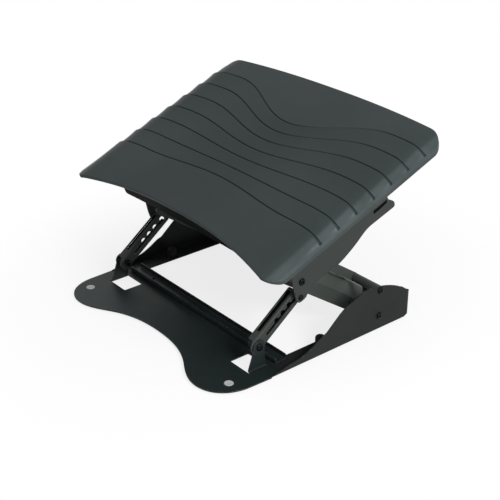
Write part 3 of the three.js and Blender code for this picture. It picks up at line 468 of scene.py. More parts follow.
def headed_pin(seat, radius, height, shank, end):
    """A plain domed head on a shank along X."""
    rise = 0.3 * height
    crown = dome(radius, height - rise, radius * 0.98, 0, 9) + (seat + rise, 0)
    return turned([(end, 0), (end, shank - 0.4), (end + 0.4, shank), (seat, shank),
                   (seat, radius - 0.3), (seat + 0.25, radius), (seat + rise, radius), *crown])


# Materials
def tone(red, green, blue):
    """A colour given as it looks on a screen, 0 to 255, as the linear values of a shader."""
    share = np.array([red, green, blue]) / 255
    linear = np.where(share <= 0.04045, share / 12.92, ((share + 0.055) / 1.055) ** 2.4)
    return (*linear.tolist(), 1.0)


class Wire:
    """An output socket whose Python operators add Math nodes to its node tree."""

    def __init__(self, graph, socket):
        self.graph, self.socket = graph, socket

    def maths(self, operation, *values):
        links = {i: value for i, value in enumerate(values)}
        return self.graph.node("ShaderNodeMath", links, operation=operation)

    def __add__(self, other):
        return self.maths("ADD", self, other)

    def __sub__(self, other):
        return self.maths("SUBTRACT", self, other)

    def __rsub__(self, other):
        return self.maths("SUBTRACT", other, self)

    def __mul__(self, other):
        return self.maths("MULTIPLY", self, other)

    __radd__ = __add__
    __rmul__ = __mul__

    def steps(self, low, high):
        """0 below low, 1 above high, and smooth between."""
        links = {"Value": self, "From Min": low, "From Max": high}
        return self.graph.node("ShaderNodeMapRange", links, interpolation_type="SMOOTHSTEP")


class Graph:
    """A node tree, and one method that adds a node of any type to it."""

    def __init__(self, tree):
        self.tree = tree

    def node(self, kind, links=None, output=0, **settings):
        made = self.tree.nodes.new(kind)
        for name, value in settings.items():
            setattr(made, name, value)
        for name, value in (links or {}).items():
            self.feed(made.inputs[name], value)
        return Wire(self, made.outputs[output])

    def feed(self, socket, value):
        if isinstance(value, Wire):
            self.tree.links.new(value.socket, socket)
        else:
            socket.default_value = value

    def mixed(self, share, one, other):
        links = {"Factor": share, 6: one, 7: other}
        return self.node("ShaderNodeMix", links, output=2, data_type="RGBA")

    def seen_white(self):
        """1 for rays from the camera, off gloss and through glass, 0 for the rays that light."""
        camera, gloss, clear = (self.node("ShaderNodeLightPath", output=f"Is {kind} Ray")
                                for kind in ("Camera", "Glossy", "Transmission"))
        return camera.maths("MAXIMUM", camera.maths("MAXIMUM", camera, gloss), clear)


class Finish(Graph):
    """A material: its Principled shader, and the nodes that colour, roughen and emboss it."""

    def __init__(self, name, roughness, metallic=0.0, slot=None, **constants):
        self.slot = slot or name
        self.material = bpy.data.materials.new(name)
        self.material.use_nodes = True
        super().__init__(self.material.node_tree)
        self.shader = self.tree.nodes["Principled BSDF"]
        self.shader.inputs["Roughness"].default_value = roughness
        self.shader.inputs["Metallic"].default_value = metallic
        for name, value in constants.items():
            self.shader.inputs[name.replace("_", " ")].default_value = value
        self.place = self.node("ShaderNodeTexCoord", output="Object")

    def noise(self, scale, detail=3.0, rough=0.55, stretch=None):
        place = self.place
        if stretch:
            place = self.node("ShaderNodeMapping", {"Vector": place, "Scale": stretch})
        links = {"Vector": place, "Scale": scale, "Detail": detail, "Roughness": rough}
        return self.node("ShaderNodeTexNoise", links)

    def cells(self, scale):
        links = {"Vector": self.place, "Scale": scale}
        return self.node("ShaderNodeTexVoronoi", links, output="Distance")

    def attribute(self, name):
        return self.node("ShaderNodeAttribute", output="Fac", attribute_name=name)

    def colour(self, value):
        self.feed(self.shader.inputs["Base Color"], value)

    def rough(self, value):
        self.feed(self.shader.inputs["Roughness"], value)

    def embossed(self, height, strength, distance):
        links = {"Height": height, "Strength": strength, "Distance": distance}
        self.feed(self.shader.inputs["Normal"], self.node("ShaderNodeBump", links))


def powder_coat(name, dark, light, bare, roughness, peeled, gloss=0.2, slot=None):
    """Powder coat: orange peel, a fine sparkle, and bare brighter metal where an edge wears through.
    The arms get a lighter copy of the frame's coat, which paints light on them; the rails get a
    darker copy of the frame's coat and the beams a darker copy of the plate's, which paint shade."""
    coat = Finish(name, roughness, slot=slot, Specular_IOR_Level=gloss)
    cloud = coat.noise(9.0, 4.0)
    fine = coat.noise(2600.0, 2.0)
    body = coat.mixed(cloud.steps(0.3, 0.7) * 0.6 + fine * 0.4, dark, light)
    patchy = coat.noise(160.0, 4.0).steps(0.46, 0.62)
    wear_and_shade_marks = coat.attribute("worn") * patchy
    coat.colour(coat.mixed(wear_and_shade_marks * 0.55, body, bare))
    coat.rough(coat.noise(60.0, 5.0) * 0.16 + (roughness - 0.08) - wear_and_shade_marks * 0.12)
    peel = coat.noise(620.0, 2.0, 0.4) * 0.75 + fine * 0.25
    coat.embossed(peel, peeled, 0.00012)
    return coat


frame_coat = powder_coat("frame_coat", tone(42, 46, 44), tone(51, 56, 53), tone(104, 108, 104), 0.5, 0.5)
plate_coat = powder_coat("plate_coat", tone(20, 27, 27), tone(29, 37, 37), tone(84, 92, 92), 0.42, 0.32)
# Side rails: a darker copy of the frame's coat, painted shade.
shaded_rail_coat = powder_coat("shaded_rail_coat", tone(27, 30, 28), tone(32, 36, 34), tone(86, 90, 86), 0.5, 0.5,
                        0.11, slot="frame_coat")
# Arms, bars and sleeves: a lighter copy of the frame's coat, painted light.
lit_frame_coat = powder_coat("lit_frame_coat", tone(58, 63, 60), tone(69, 75, 72), tone(116, 120, 116), 0.48, 0.5,
                       slot="frame_coat")
# Beams, strut sheets and slot strips: a darker copy of the plate's coat, painted shade.
shaded_plate_coat = powder_coat("shaded_plate_coat", tone(6, 8, 8), tone(10, 13, 12), tone(50, 54, 53), 0.6, 0.4,
                        0.03, slot="plate_coat")

moulding = Finish("platform_moulding", 0.4, Specular_IOR_Level=0.1)
grain = moulding.cells(1500.0) * 0.7 + moulding.noise(3200.0, 2.0) * 0.5
shade = moulding.noise(6.0, 3.0).steps(0.3, 0.7) * 0.7 + moulding.noise(900.0, 2.0) * 0.3
body = moulding.mixed(shade, tone(46, 54, 53), tone(54, 62, 61))
# The mark read here is wear, and on the platform also painted shade and a painted highlight.
wear_and_shade_level = moulding.attribute("worn")
# Above zero the mark lightens: rubbed wear on the rim, and wear with a painted highlight on the roll.
rubbed_and_highlight = wear_and_shade_level.steps(0.0, 1.0) * (moulding.noise(26.0, 4.0).steps(0.3, 0.7) * 0.5 + 0.5)
# Below zero the mark paints shade: dark in the grooves and in a band where the roll begins.
body = moulding.mixed((0 - wear_and_shade_level).steps(0.0, 0.5), body, tone(10, 13, 14))
moulding.colour(moulding.mixed(rubbed_and_highlight * 0.4, body, tone(92, 98, 102)))
moulding.rough(moulding.noise(40.0, 5.0) * 0.12 + 0.34 - rubbed_and_highlight * 0.08)
moulding.embossed(grain, 0.3, 0.0001)

fastener = Finish("fastener", 0.16, Specular_IOR_Level=0.1)
patina = fastener.noise(420.0, 4.0)
fastener.colour(fastener.mixed(patina.steps(0.35, 0.65), tone(5, 6, 6), tone(14, 15, 15)))
fastener.rough(patina * 0.12 + 0.1)
fastener.embossed(fastener.noise(2400.0, 2.0), 0.2, 0.00004)

bright_steel = Finish("bright_steel", 0.3, 0.95)
lathe = bright_steel.noise(120.0, 4.0, stretch=(30.0, 1.0, 1.0))
bright_steel.colour(bright_steel.mixed(lathe.steps(0.3, 0.7), tone(136, 138, 140), tone(168, 170, 172)))
bright_steel.rough(lathe * 0.2 + 0.22)
bright_steel.embossed(lathe, 0.25, 0.00003)

nylon = Finish("nylon", 0.55, Specular_IOR_Level=0.12)
flow = nylon.noise(300.0, 4.0, stretch=(3.0, 1.0, 1.0))
nylon.colour(nylon.mixed(flow, tone(22, 23, 24), tone(36, 37, 38)))
nylon.rough(flow * 0.2 + 0.42)
nylon.embossed(nylon.noise(1800.0, 2.0), 0.3, 0.00005)

rubber = Finish("rubber", 0.8, Specular_IOR_Level=0.1)
dust = rubber.noise(240.0, 5.0)
rubber.colour(rubber.mixed(dust.steps(0.4, 0.7), tone(28, 28, 28), tone(50, 50, 49)))
rubber.rough(dust * 0.2 + 0.66)
rubber.embossed(rubber.noise(1500.0, 3.0), 0.5, 0.0001)

foot_pad = Finish("foot_pad", 0.75)
speckle = foot_pad.noise(500.0, 4.0)
foot_pad.colour(foot_pad.mixed(speckle, tone(158, 158, 157), tone(188, 188, 186)))
foot_pad.rough(speckle * 0.2 + 0.62)
foot_pad.embossed(foot_pad.noise(1400.0, 3.0), 0.4, 0.0001)


# Base: front plate with its windows and bent-up ears
def based(shape):
    """The shape, drawn in the base's own frame, in the model's."""
    return shape.moved((0, SHIFT, 0))


# Each cubic curve's two handles and end, as shares of half the width and of the front's reach
LOBE_START_SHARE = 0.68
LOBE_SHARES = (
    (0.24, 0.68, 0.373, 0.758, 0.49, 0.867),
    (0.576, 0.945, 0.65, 1, 0.736, 1),
    (0.88, 1, 0.981, 0.844, 0.992, 0.625),
)
GAP, BLANK_HALF, PLUG_HOLE = 0.3, 200.0, 6.5
RAIL_INNER, RAIL_FRONT, TIP, REAR, CORNER = 158.5, -25.0, -42.0, 211.0, 9.0
EAR_OUTER, EAR_BEND, EAR_RADIUS, EAR_REACH = 159.65, 3.4, 9.5, 60.0
EAR_ROOT = EAR_OUTER - BASE_SHEET + EAR_BEND
ear_middle = np.array([strut_pivot[1] - SHIFT, strut_pivot[2]])
WINDOW_INNER, WINDOW_FRONT, WINDOW_REAR, WINDOW_CORNER = 123.4, -59.4, -29.0, 2.5
RELIEF, SLIT_LENGTH, SLIT_CORNER = 1.5, 1.6, 0.7


def plate_outline():
    """Half the front edge as three cubic curves, the notch for the rail, and their mirror."""
    size = np.array([BASE_HALF, -BASE_FRONT])
    half = [np.array([[0, LOBE_START_SHARE]]) * size]
    for x1, y1, x2, y2, x3, y3 in LOBE_SHARES:
        half.append(bezier(half[-1][-1], size * (x1, y1), size * (x2, y2), size * (x3, y3)))
    wall, inner, front = BASE_HALF - BASE_SHEET - GAP, RAIL_INNER - GAP, RAIL_FRONT - GAP
    notch = [(BASE_HALF, TIP - GAP), (wall, TIP - GAP), (wall, front), (inner, front), (inner, 0)]
    half = np.vstack([*half, notch])
    return np.vstack([half, half[::-1] * (-1, 1)])


def window_outline():
    """The window as a hole with a relief slit each side of the ear's root."""
    front, rear = WINDOW_FRONT + RELIEF, WINDOW_REAR - RELIEF
    slit = EAR_ROOT + SLIT_LENGTH
    return rounded([
        (WINDOW_INNER, WINDOW_FRONT, WINDOW_CORNER), (slit, WINDOW_FRONT, SLIT_CORNER),
        (slit, front, SLIT_CORNER), (EAR_ROOT, front), (EAR_ROOT, rear), (slit, rear, SLIT_CORNER),
        (slit, WINDOW_REAR, SLIT_CORNER), (WINDOW_INNER, WINDOW_REAR, WINDOW_CORNER),
    ])


def front_plate():
    """The flat sheet. Its edges at the ears' roots stay open, since the ears go on there."""
    flat = Section([(-BLANK_HALF, PLATE_UNDER), (BLANK_HALF, PLATE_UNDER)])
    shift = np.array([BLANK_HALF, 0])
    foot = middle("front_foot_right")
    loops = [plate_outline() + shift]
    for way in SIDES.values():
        loops.append(window_outline() * (way, 1) + shift)
        loops.append(ring((way * foot[0] + BLANK_HALF, foot[1] - SHIFT), PLUG_HOLE))
    roots = (0, [BLANK_HALF - EAR_ROOT, BLANK_HALF + EAR_ROOT])
    return folded(flat, loops, BASE_SHEET, "xzy", left_open=roots)


def ear():
    """A tab that leaves the window's edge in a bend, narrows, and ends round the strut's pivot."""
    inner = EAR_OUTER - BASE_SHEET
    section = Section([(EAR_ROOT, PLATE_UNDER), (inner, PLATE_UNDER, EAR_BEND), (inner, EAR_REACH)],
                      side=-1)
    centre = np.array([section.along(inner, ear_middle[1]), ear_middle[0]])
    lean = math.asin(1 / 3)
    turn = np.linspace(-lean, math.pi + lean, 30)
    head = centre + EAR_RADIUS * np.stack([np.sin(turn), np.cos(turn)], 1)
    front, rear = WINDOW_FRONT + RELIEF, WINDOW_REAR - RELIEF
    foot = section.folds[-1]
    loop = np.vstack([[(0, rear), (foot, rear)], head, [(foot, front), (0, front)]])
    return folded(section, [loop, ring(centre, STRUT_HOLE)], BASE_SHEET, "xzy", left_open=(0, [0.0]))


plate = front_plate() + ear() + ear().mirrored()
add_piece("front_plate_pressed", based(plate), plate_coat, "base_front_plate")


# Base: side rails, each a flange and a tall side plate that turns inwards at the rear. The shares
# are of the side plate's length, of SIDE_RISE and, for the corner's radius, of its length again
SIDE_SHARES = (
    (0, 0.03, 0), (0.059, 0.075, 0.02), (0.213, 0.171, 0.04), (0.276, 0.266, 0.03),
    (0.342, 0.407, 0.02), (0.368, 0.429, 0.02), (0.488, 0.794, 0.05), (0.573, 0.904, 0.03),
    (0.628, 0.99, 0.03), (0.7, 1, 0.05), (0.802, 0.926, 0.05), (0.893, 0.8, 0.04), (1, 0.545, 0),
)
SIDE_RISE, SIDE_BEND, RETURN_END, BELOW = 70.0, 3.2, 165.5, -60.0
RETURN_START, SEAM = 7.0, 0.2


def side_top():
    """The side plate's upper edge from its low front tip to the rear, as (Y, Z)."""
    long = REAR - TIP
    corners = [(along * long + TIP, PLATE_UNDER + up * SIDE_RISE, bend * long)
               for along, up, bend in SIDE_SHARES]
    closed = rounded([(TIP, BELOW), *corners, (REAR, BELOW)])
    return closed[closed[:, 1] > PLATE_UNDER + 1]


def side_rail():
    """Two sheets that meet edge to edge: the flange with the side plate up to where the rear
    corner starts, and the corner with the return flange behind it."""
    section = Section([(RAIL_INNER, PLATE_UNDER), (BASE_HALF, PLATE_UNDER, SIDE_BEND),
                       (BASE_HALF, SIDE_RISE + 20)])
    start, end = section.folds[0], section.folds[-1]
    straight = REAR - CORNER
    top = side_top()
    bottom = end + SEAM
    rise = PLATE_UNDER + SIDE_BEND
    ahead = top[top[:, 0] < straight - 0.5]
    level = float(np.interp(straight, top[:, 0], top[:, 1]))
    lip = start + SIDE_BEND * math.radians(30)
    wall = np.stack([end + ahead[:, 1] - rise, ahead[:, 0]], 1)
    wall = wall[wall[:, 0] > lip + 0.5]
    turn = np.linspace(0, RIGHT_ANGLE, 9)
    sweep = CORNER - 1
    bend = BASE_HALF - CORNER - RAIL_INNER + sweep * np.cos(turn)
    corner = np.stack([bend, straight + sweep * np.sin(turn)], 1)
    loop = np.vstack([
        [(0, RAIL_FRONT), (start - 2, RAIL_FRONT), (start - 1, RAIL_FRONT - 1), (lip, RAIL_FRONT - 2),
         (lip, TIP)],
        wall,
        [(end + level - rise, straight), (bottom, straight), (bottom - 1, straight - 1.2),
         (start + 1, straight - 1.2)],
        corner[corner[:, 0] < start - 0.5],
        [(0, straight + sweep)],
    ])
    pivots = [ring((end + place[2] - rise, place[1] - SHIFT), SCREW_HOLE, 28)
              for place in (rear_lower, rear_upper)]
    flank = folded(section, [loop, *pivots], BASE_SHEET, "xzy", left_open=(1, [straight]))
    first = RETURN_START
    plan = Section([(BASE_HALF, straight - first), (BASE_HALF, REAR, CORNER), (RETURN_END, REAR)])
    low = PLATE_UNDER + SIDE_BEND + SEAM
    behind = top[top[:, 0] > straight + 0.5]
    flight = first + CORNER * np.arcsin(np.clip((behind[:, 0] - straight) / CORNER, 0, 1))
    back = plan.length
    rear = float(top[-1, 1])
    falling = np.stack([flight, behind[:, 1]], 1)[::-1]
    loop = rounded([(first, low), (back, low, 2), (back, rear, 5), *falling, (first, level)])
    return flank + folded(plan, [loop], BASE_SHEET, "xyz", left_open=(0, [first]))


# The side plates take the darker copy of the frame's coat, painted shade.
add_pair("side_plate_{}_pressed", based(side_rail()), shaded_rail_coat, "side_rail_{}")


# Base: cross channel with its rivets, rear bar, feet and bumpers
CHANNEL_SHEET, CHANNEL_BEND, BAR_BEND, BAR_CORNER = 1.5, 2.4, 3.0, 3.0


def cross_bar(section, half, sheet, edge):
    """A section carried across from -half to half, with the corners of its sheet rounded off."""
    whole = section.length
    loop = rounded([(s, t, BAR_CORNER) for s, t in ((0, -half), (whole, -half), (whole, half), (0, half))])
    return folded(section, [loop], sheet, "yzx", edge=edge)


def channel():
    """A trough open upwards."""
    (_, front, low), (half, rear, high) = extent("cross_channel")
    section = Section([(rear, high), (rear, low, CHANNEL_BEND), (front, low, CHANNEL_BEND),
                       (front, high)], side=-1)
    return cross_bar(section, half, CHANNEL_SHEET, 0.3)


def rear_angle():
    (_, front, low), (half, rear, high) = extent("rear_bar")
    section = Section([(front, low), (rear, low, BAR_BEND), (rear, high)])
    return cross_bar(section, half, BASE_SHEET, 0.35)


add_piece("cross_channel_folded", channel(), plate_coat, "cross_channel")
add_piece("rear_bar_folded", rear_angle(), plate_coat, "rear_bar")


def disc(radius, low, high, soft=0.6):
    """A flat round pad with both rims rounded."""
    turn = np.linspace(0, RIGHT_ANGLE, 5)
    edge = np.stack([low + soft * (1 - np.cos(turn)), radius - soft * (1 - np.sin(turn))], 1)
    top = edge[::-1] * (-1, 1) + (low + high, 0)
    return turned([(low, 0), *edge, *top, (high, 0)], "z")


def foot_plug(low, high, pad, plug):
    """A pad under the sheet, and its plug in the hole above with a shallow dished top."""
    dish = [(high, plug * 0.82), (high - 0.3, plug * 0.6), (high - 0.45, 0)]
    return turned([(low, 0), (low, pad - 0.6), (low + 0.2, pad - 0.2), (low + 0.6, pad),
                   (PLATE_UNDER - 0.6, pad), (PLATE_UNDER - 0.3, pad - 0.3), (PLATE_UNDER - 0.3, plug),
                   (high - 0.4, plug), (high - 0.1, plug - 0.25), *dish], "z")


def buffer(radius, height):
    """A rubber buffer: a short waist above its foot ring, then a dome."""
    turn = np.linspace(0, RIGHT_ANGLE, 10)
    wall = height - radius * 0.62
    crown = np.stack([wall + (height - wall) * np.sin(turn), radius * np.cos(turn)], 1)
    return turned([(0, 0), (0, radius - 0.3), (0.3, radius), (1.6, radius), (2.0, radius - 0.5),
                   (2.6, radius - 0.5), (3.0, radius), *crown[:-1], (height, 0)], "z")


def rivet(radius, height):
    """A domed rivet head."""
    crown = dome(radius, height, radius * 0.98, 0, 7)
    return turned([(0, 0), (0, radius - 0.1), (0.15, radius), *crown], "z")


FOOT_PLUG_RADIUS, RIVET_RADIUS = 6.2, 3.0
for side in SIDES:
    for name in (f"front_foot_{side}", f"middle_foot_{side}", f"rear_foot_{side}"):
        low, high = extent(name)
        radius, base = (high[0] - low[0]) / 2, middle(name) * (1, 1, 0)
        if name.startswith("front"):
            foot, finish = foot_plug(low[2], high[2], radius, FOOT_PLUG_RADIUS), foot_pad
        else:
            foot, finish = disc(radius, low[2], high[2]), rubber
        add_piece(f"{name}_moulded", foot.moved(base), finish, name)
    name = f"bumper_{side}"
    low, high = extent(name)
    stop = buffer((high[0] - low[0]) / 2, high[2] - low[2])
    add_piece(f"{name}_moulded", stop.moved((*middle(name)[:2], low[2])), rubber, name)
    name = f"channel_rivet_{side}"
    low, high = extent(name)
    head = rivet(RIVET_RADIUS, high[2] - low[2]).moved((*middle(name)[:2], low[2]))
    add_piece(f"{name}_headed", head, fastener, name)


# Screws, pins, sleeves and axles, all along X
def sleeve(low, high, bore, radius, soft=0.5):
    """A tube from low to high with its outer rims chamfered."""
    return turned(closed_profile([(low, bore), (low, radius - soft), (low + soft, radius),
                                  (high - soft, radius), (high, radius - soft), (high, bore)]))


def rod(half, radius, bore, depth):
    """A turned rod with chamfered ends and a bore in each."""
    end = [(half - depth, 0), (half - depth, bore), (half, bore), (half, radius - 0.5), (half - 0.5, radius)]
    other = [(-along, r) for along, r in end[::-1]]
    return turned([*end, *other])


def nut(low, high, bore, across):
    """A hexagon nut with its corners chamfered on both faces."""
    flat, chamfer = across * math.cos(math.pi / 6), 0.45
    rows = [(low, bore), (low, flat - 0.1), (low + chamfer, flat), (high - chamfer, flat),
            (high, flat - 0.1), (high, bore)]
    return turned(closed_profile(rows), sides=[False, False, True, True, False, False, False])


for level in ("lower", "upper"):
    for end in ("rear", "front"):
        name = f"{end}_{level}_"
        line = middle(f"{name}axle") * (0, 1, 1)
        half = extent(f"{name}axle")[1][0]
        axle = rod(half, AXLE_RADIUS, SCREW_HOLE, AXLE_BORE_DEPTH).moved(line)
        add_piece(f"{name}axle_turned", axle, bright_steel, f"{name}axle")
        (low, _, _), (high, _, _) = extent(f"{name}sleeve_right")
        tube = sleeve(low, high, SLEEVE_BORE, SLEEVE_RADIUS).moved(line)
        # The sleeves take the lighter copy of the frame's coat, painted light.
        add_pair(name + "sleeve_{}_turned", tube, lit_frame_coat, name + "sleeve_{}")
        (low, _, _), (high, _, _) = extent(f"{name}screw_right")
        screw = socket_screw(high - HEAD_HEIGHT, HEAD_RADIUS, HEAD_HEIGHT, SCREW_RADIUS, low).moved(line)
        add_pair(name + "screw_{}_turned", screw, fastener, name + "screw_{}")

(low, _, _), (high, _, _) = extent("strut_pivot_right")
bolt = headed_pin(high - PIN_HEAD_HEIGHT, PIN_HEAD_RADIUS, PIN_HEAD_HEIGHT, PIN_RADIUS, low)
bolt = bolt + nut(low, low + NUT_HEIGHT, PIN_RADIUS, NUT_RADIUS)
add_pair("strut_pivot_{}_bolt", bolt.moved(strut_pivot), fastener, "strut_pivot_{}")
(low, _, _), (high, _, _) = extent("notch_pin_right")
pin = headed_pin(high - PIN_HEAD_HEIGHT, NOTCH_HEAD_RADIUS, PIN_HEAD_HEIGHT, NOTCH_PIN_RADIUS, low)
add_pair("notch_pin_{}_headed", pin.moved(notch_pin), fastener, "notch_pin_{}")
for side in SIDES:
    (low, _, _), (high, _, _) = extent(f"strut_bush_{side}")
    bush = sleeve(low, high, BUSH_BORE, SLEEVE_RADIUS).moved(strut_pivot)
    add_piece(f"strut_bush_{side}_turned", bush, nylon, f"strut_bush_{side}")


# Lift frame and upper bars, drawn along their own line with the rear pivot at Y = 0
LINK_OUTER = extent("lower_lift_frame")[1][0]
LINK_SHEET, BAR_SHEET, BAR_HALF = 2.0, 3.0, 6.5
FLANGE_LOW, FLANGE_TOP, SHOULDER_TOP, SHOULDER_RUN, SHOULDER_BEND = -14, 5, 24.5, 9, 5
# How far the flanges and the web reach past the rear pivot, and the front pivot
FLANGE_ENDS, WEB_ENDS = (20, 12), (14, -12)


def lift_frame():
    """A flange down each side, a slanted shoulder and a flat web on top, cut from one sheet:
    the ends step in from the flanges to the web along the shoulders."""
    shoulder = LINK_OUTER - SHOULDER_RUN
    outer = [(LINK_OUTER, FLANGE_LOW), (LINK_OUTER, FLANGE_TOP, SHOULDER_BEND),
             (shoulder, SHOULDER_TOP, SHOULDER_BEND)]
    left = [(-a, *rest) for a, *rest in outer]
    section = Section([*left, *outer[::-1]], side=-1)
    whole = section.length
    flange, web = section.along(-LINK_OUTER, FLANGE_TOP), section.along(-shoulder + 4, SHOULDER_TOP) - 2
    ends = []
    for end, inner in ((FLANGE_ENDS[0], WEB_ENDS[0]),
                       (-LINK_LENGTH - FLANGE_ENDS[1], -LINK_LENGTH - WEB_ENDS[1])):
        ends.append([(0, end, 12), (flange - 1, end, 6), (web, inner, 8), (whole - web, inner, 8),
                     (whole - flange + 1, end, 6), (whole, end, 12)])
    loop = rounded([*ends[0][::-1], *ends[1]])
    at = section.along(-LINK_OUTER, 0)
    holes = [ring((s, t), AXLE_HOLE) for s in (at, whole - at) for t in (0, -LINK_LENGTH)]
    return folded(section, [loop, *holes], LINK_SHEET, "xzy")


def upper_bar():
    """A flat bar with half-round ends."""
    section = Section([(LINK_OUTER, -BAR_HALF), (LINK_OUTER, BAR_HALF)])
    turn = np.linspace(-RIGHT_ANGLE, RIGHT_ANGLE, 24)
    end = BAR_HALF * np.stack([np.sin(turn), np.cos(turn)], 1)
    loop = np.vstack([end, end * (-1, -1) - (0, LINK_LENGTH)]) + (BAR_HALF, 0)
    holes = [ring((BAR_HALF, t), AXLE_HOLE) for t in (0, -LINK_LENGTH)]
    return folded(section, [loop, *holes], BAR_SHEET, "xzy", edge=0.5)


# The lift frame and bars take the lighter copy of the frame's coat, painted light.
arms = lift_frame().moved(rear_lower * (0, 1, 1), LINK_TURN)
add_piece("lower_lift_frame_folded", arms, lit_frame_coat, "lower_lift_frame")
bar = upper_bar().moved(rear_upper * (0, 1, 1), LINK_TURN)
add_pair("upper_link_{}_blanked", bar, lit_frame_coat, "upper_link_{}")


# Struts: a channel, its web's outer face at X = 0 and its flanges towards -X, drawn along its
# line with the pivot at its start
STRUT_HALF, STRUT_DEPTH, STRUT_SHEET, STRUT_BEND = 10.25, 13.0, 2.0, 3.2
STRUT_TOP, STRUT_TAIL, STRUT_SHOULDER = TOP_NOTCH + 8.5, -11.0, 5.0
SLOT_START, SLOT_END, SLOT_HALF, NOTCH_RADIUS = 18.0, TOP_NOTCH + 4.0, 2.4, 3.7
NOTCH_SHARES = (1, 0.807, 0.648, 0.4915)
STRUT_WINDOW, WINDOW_LOW, WINDOW_SHORT = 3.0, 15.0, 9.0
# Dark sheets inside the strut's flanges, painted shade in the channel: thickness, span and places
SHADE_SHEET_THICKNESS, SHADE_SHEET_LOW, SHADE_SHEET_HIGH = 0.8, 13.0, TOP_NOTCH + 2.5
SHADE_SHEET_PLACES = {"front": 7.4, "rear": -7.2}


def notched_slot(centre):
    """The slot's edge. Its half width falls in a quarter circle at both ends, and on one side
    the circles of the notches stand out of it."""
    round_end = SLOT_HALF * (1 - np.cos(np.linspace(0, RIGHT_ANGLE, 8)))
    straight = np.linspace(SLOT_START + 3, SLOT_END - 3, 150)
    along = np.sort(np.concatenate([SLOT_START + round_end, straight, SLOT_END - round_end]))
    beyond = np.maximum(SLOT_START + SLOT_HALF - along, along - SLOT_END + SLOT_HALF)
    slot = np.sqrt(np.maximum(SLOT_HALF ** 2 - np.maximum(beyond, 0) ** 2, 0))
    circle = NOTCH_RADIUS ** 2 - (along[:, None] - np.array(NOTCH_SHARES) * TOP_NOTCH) ** 2
    bulge = np.where(circle > 0, NOTCH_LIFT + np.sqrt(np.maximum(circle, 0)), 0).max(1)
    upper = np.stack([centre + np.maximum(slot, bulge), along], 1)
    lower = np.stack([centre - slot, along], 1)
    return np.vstack([upper, lower[::-1][1:-1]])


def strut():
    """The channel with its web longer than its flanges, and a window in the front flange."""
    half, depth = STRUT_HALF, -STRUT_DEPTH
    section = Section([(-half, depth), (-half, 0, STRUT_BEND), (half, 0, STRUT_BEND), (half, depth)], side=-1)
    whole = section.length
    bend, shoulder = section.along(-half, -4), STRUT_TOP - STRUT_SHOULDER
    low = [(0, 0.5, 2), (bend, 0.5, 3), (bend + 6, STRUT_TAIL, 6)]
    high = [(bend + 4, STRUT_TOP, 3), (bend, shoulder, 2), (0, shoulder, 3)]
    loop = rounded([*low, *[(whole - s, t, r) for s, t, r in low[::-1]],
                    *[(whole - s, t, r) for s, t, r in high[::-1]], *high])
    near, far = whole - bend + 0.5, whole - STRUT_SHEET
    window = rounded([(s, t, STRUT_WINDOW) for s, t in (
        (near, WINDOW_LOW), (near, STRUT_TOP - WINDOW_SHORT), (far, STRUT_TOP - WINDOW_SHORT),
        (far, WINDOW_LOW))])
    centre = whole / 2
    holes = [notched_slot(centre), ring((centre, 0), STRUT_HOLE), window]
    return folded(section, [loop, *holes], STRUT_SHEET, "zxy")


def strut_liner(place):
    """A dark strip on a flange's inner face, at place from the middle, that paints the shade inside
    the channel: the one in front closes the window, the one behind darkens what the slot shows."""
    section = Section([(place, -12.2), (place, -2.4)])
    wide = section.length
    loop = rounded([(0, SHADE_SHEET_LOW, 1), (0, SHADE_SHEET_HIGH, 1), (wide, SHADE_SHEET_HIGH, 1), (wide, SHADE_SHEET_LOW, 1)])
    return folded(section, [loop], SHADE_SHEET_THICKNESS, "zxy", edge=0.2)


for side in SIDES:
    node = f"strut_{side}"
    pivot = strut_pivot + (extent(node)[1][0], 0, 0)
    add_piece(f"{node}_pressed", strut().moved(pivot, STRUT_TURN), frame_coat, node)
    # Two dark sheets in each strut's channel paint its shade.
    for end, place in SHADE_SHEET_PLACES.items():
        add_piece(f"{node}_{end}_shade_sheet", strut_liner(place).moved(pivot, STRUT_TURN), shaded_plate_coat, node)


# Under the platform: brackets and beams, in its tilted frame
BRACKET_SHEET, BRACKET_FLANGE, BRACKET_BEND, BRACKET_FRONT, BRACKET_RUN = 2.5, 20.0, 4.0, -21.0, -130.0
BRACKET_OUTER = extent("bracket_right")[1][0]
BRACKET_INNER = BRACKET_OUTER - BRACKET_SHEET
# The bracket's lower edge as shares of its length and depth, and the rounding of its lobe
BRACKET_LONG, BRACKET_DEEP, LOBE = 169.0, 95.0, 7.0
BRACKET_SHARES = ((-0.029, 1.196), (0.089, 1.146), (0.328, 1.17), (0.503, 1.102), (0.67, 0.996),
                  (0.992, 1.02), (0.995, 0.93), (0.93, 0.81))
SLOT_CORNERS = ((-83, 130), (-83, 155), (-77.5, 158), (-77.5, 130))
# A dark strip behind the bracket's slot, painted shade: its thickness and corners
STRIP_SHEET, STRIP_CORNERS = 1.2, ((75, 127), (86, 127), (86, 160), (75, 160))
BEAM_HALF = extent("front_beam")[1][0]
BEAM_SHEET, BEAM_FLANGE, BEAM_BEND = 2.0, 40.0, 3.5
ROLL_START, ROLL_ACROSS, ROLL_DOWN, STEP_HEIGHT, THICK = 190.0, 36.0, 24.0, 3.0, 5.0


def roll_drop(x):
    """The side edges roll down along an ellipse that leaves the flat middle level."""
    share = np.clip((np.abs(x) - ROLL_START) / ROLL_ACROSS, 0, 0.95)
    return ROLL_DOWN * (1 - np.sqrt(1 - share ** 2))


def roll_slope(x):
    """How steeply that ellipse falls."""
    share = np.clip((np.abs(x) - ROLL_START) / ROLL_ACROSS, 0, 0.95)
    return ROLL_DOWN / ROLL_ACROSS * share / np.sqrt(1 - share ** 2)


BEAM_TOP = -STEP_HEIGHT / 2 - THICK - 4.0
BRACKET_TOP = BEAM_TOP - 2.3
SCREW_ROWS = {"front": -12.0, "rear": 154.0}
SCREW_X = {"outer": BRACKET_INNER - 10, "inner": 75.0}


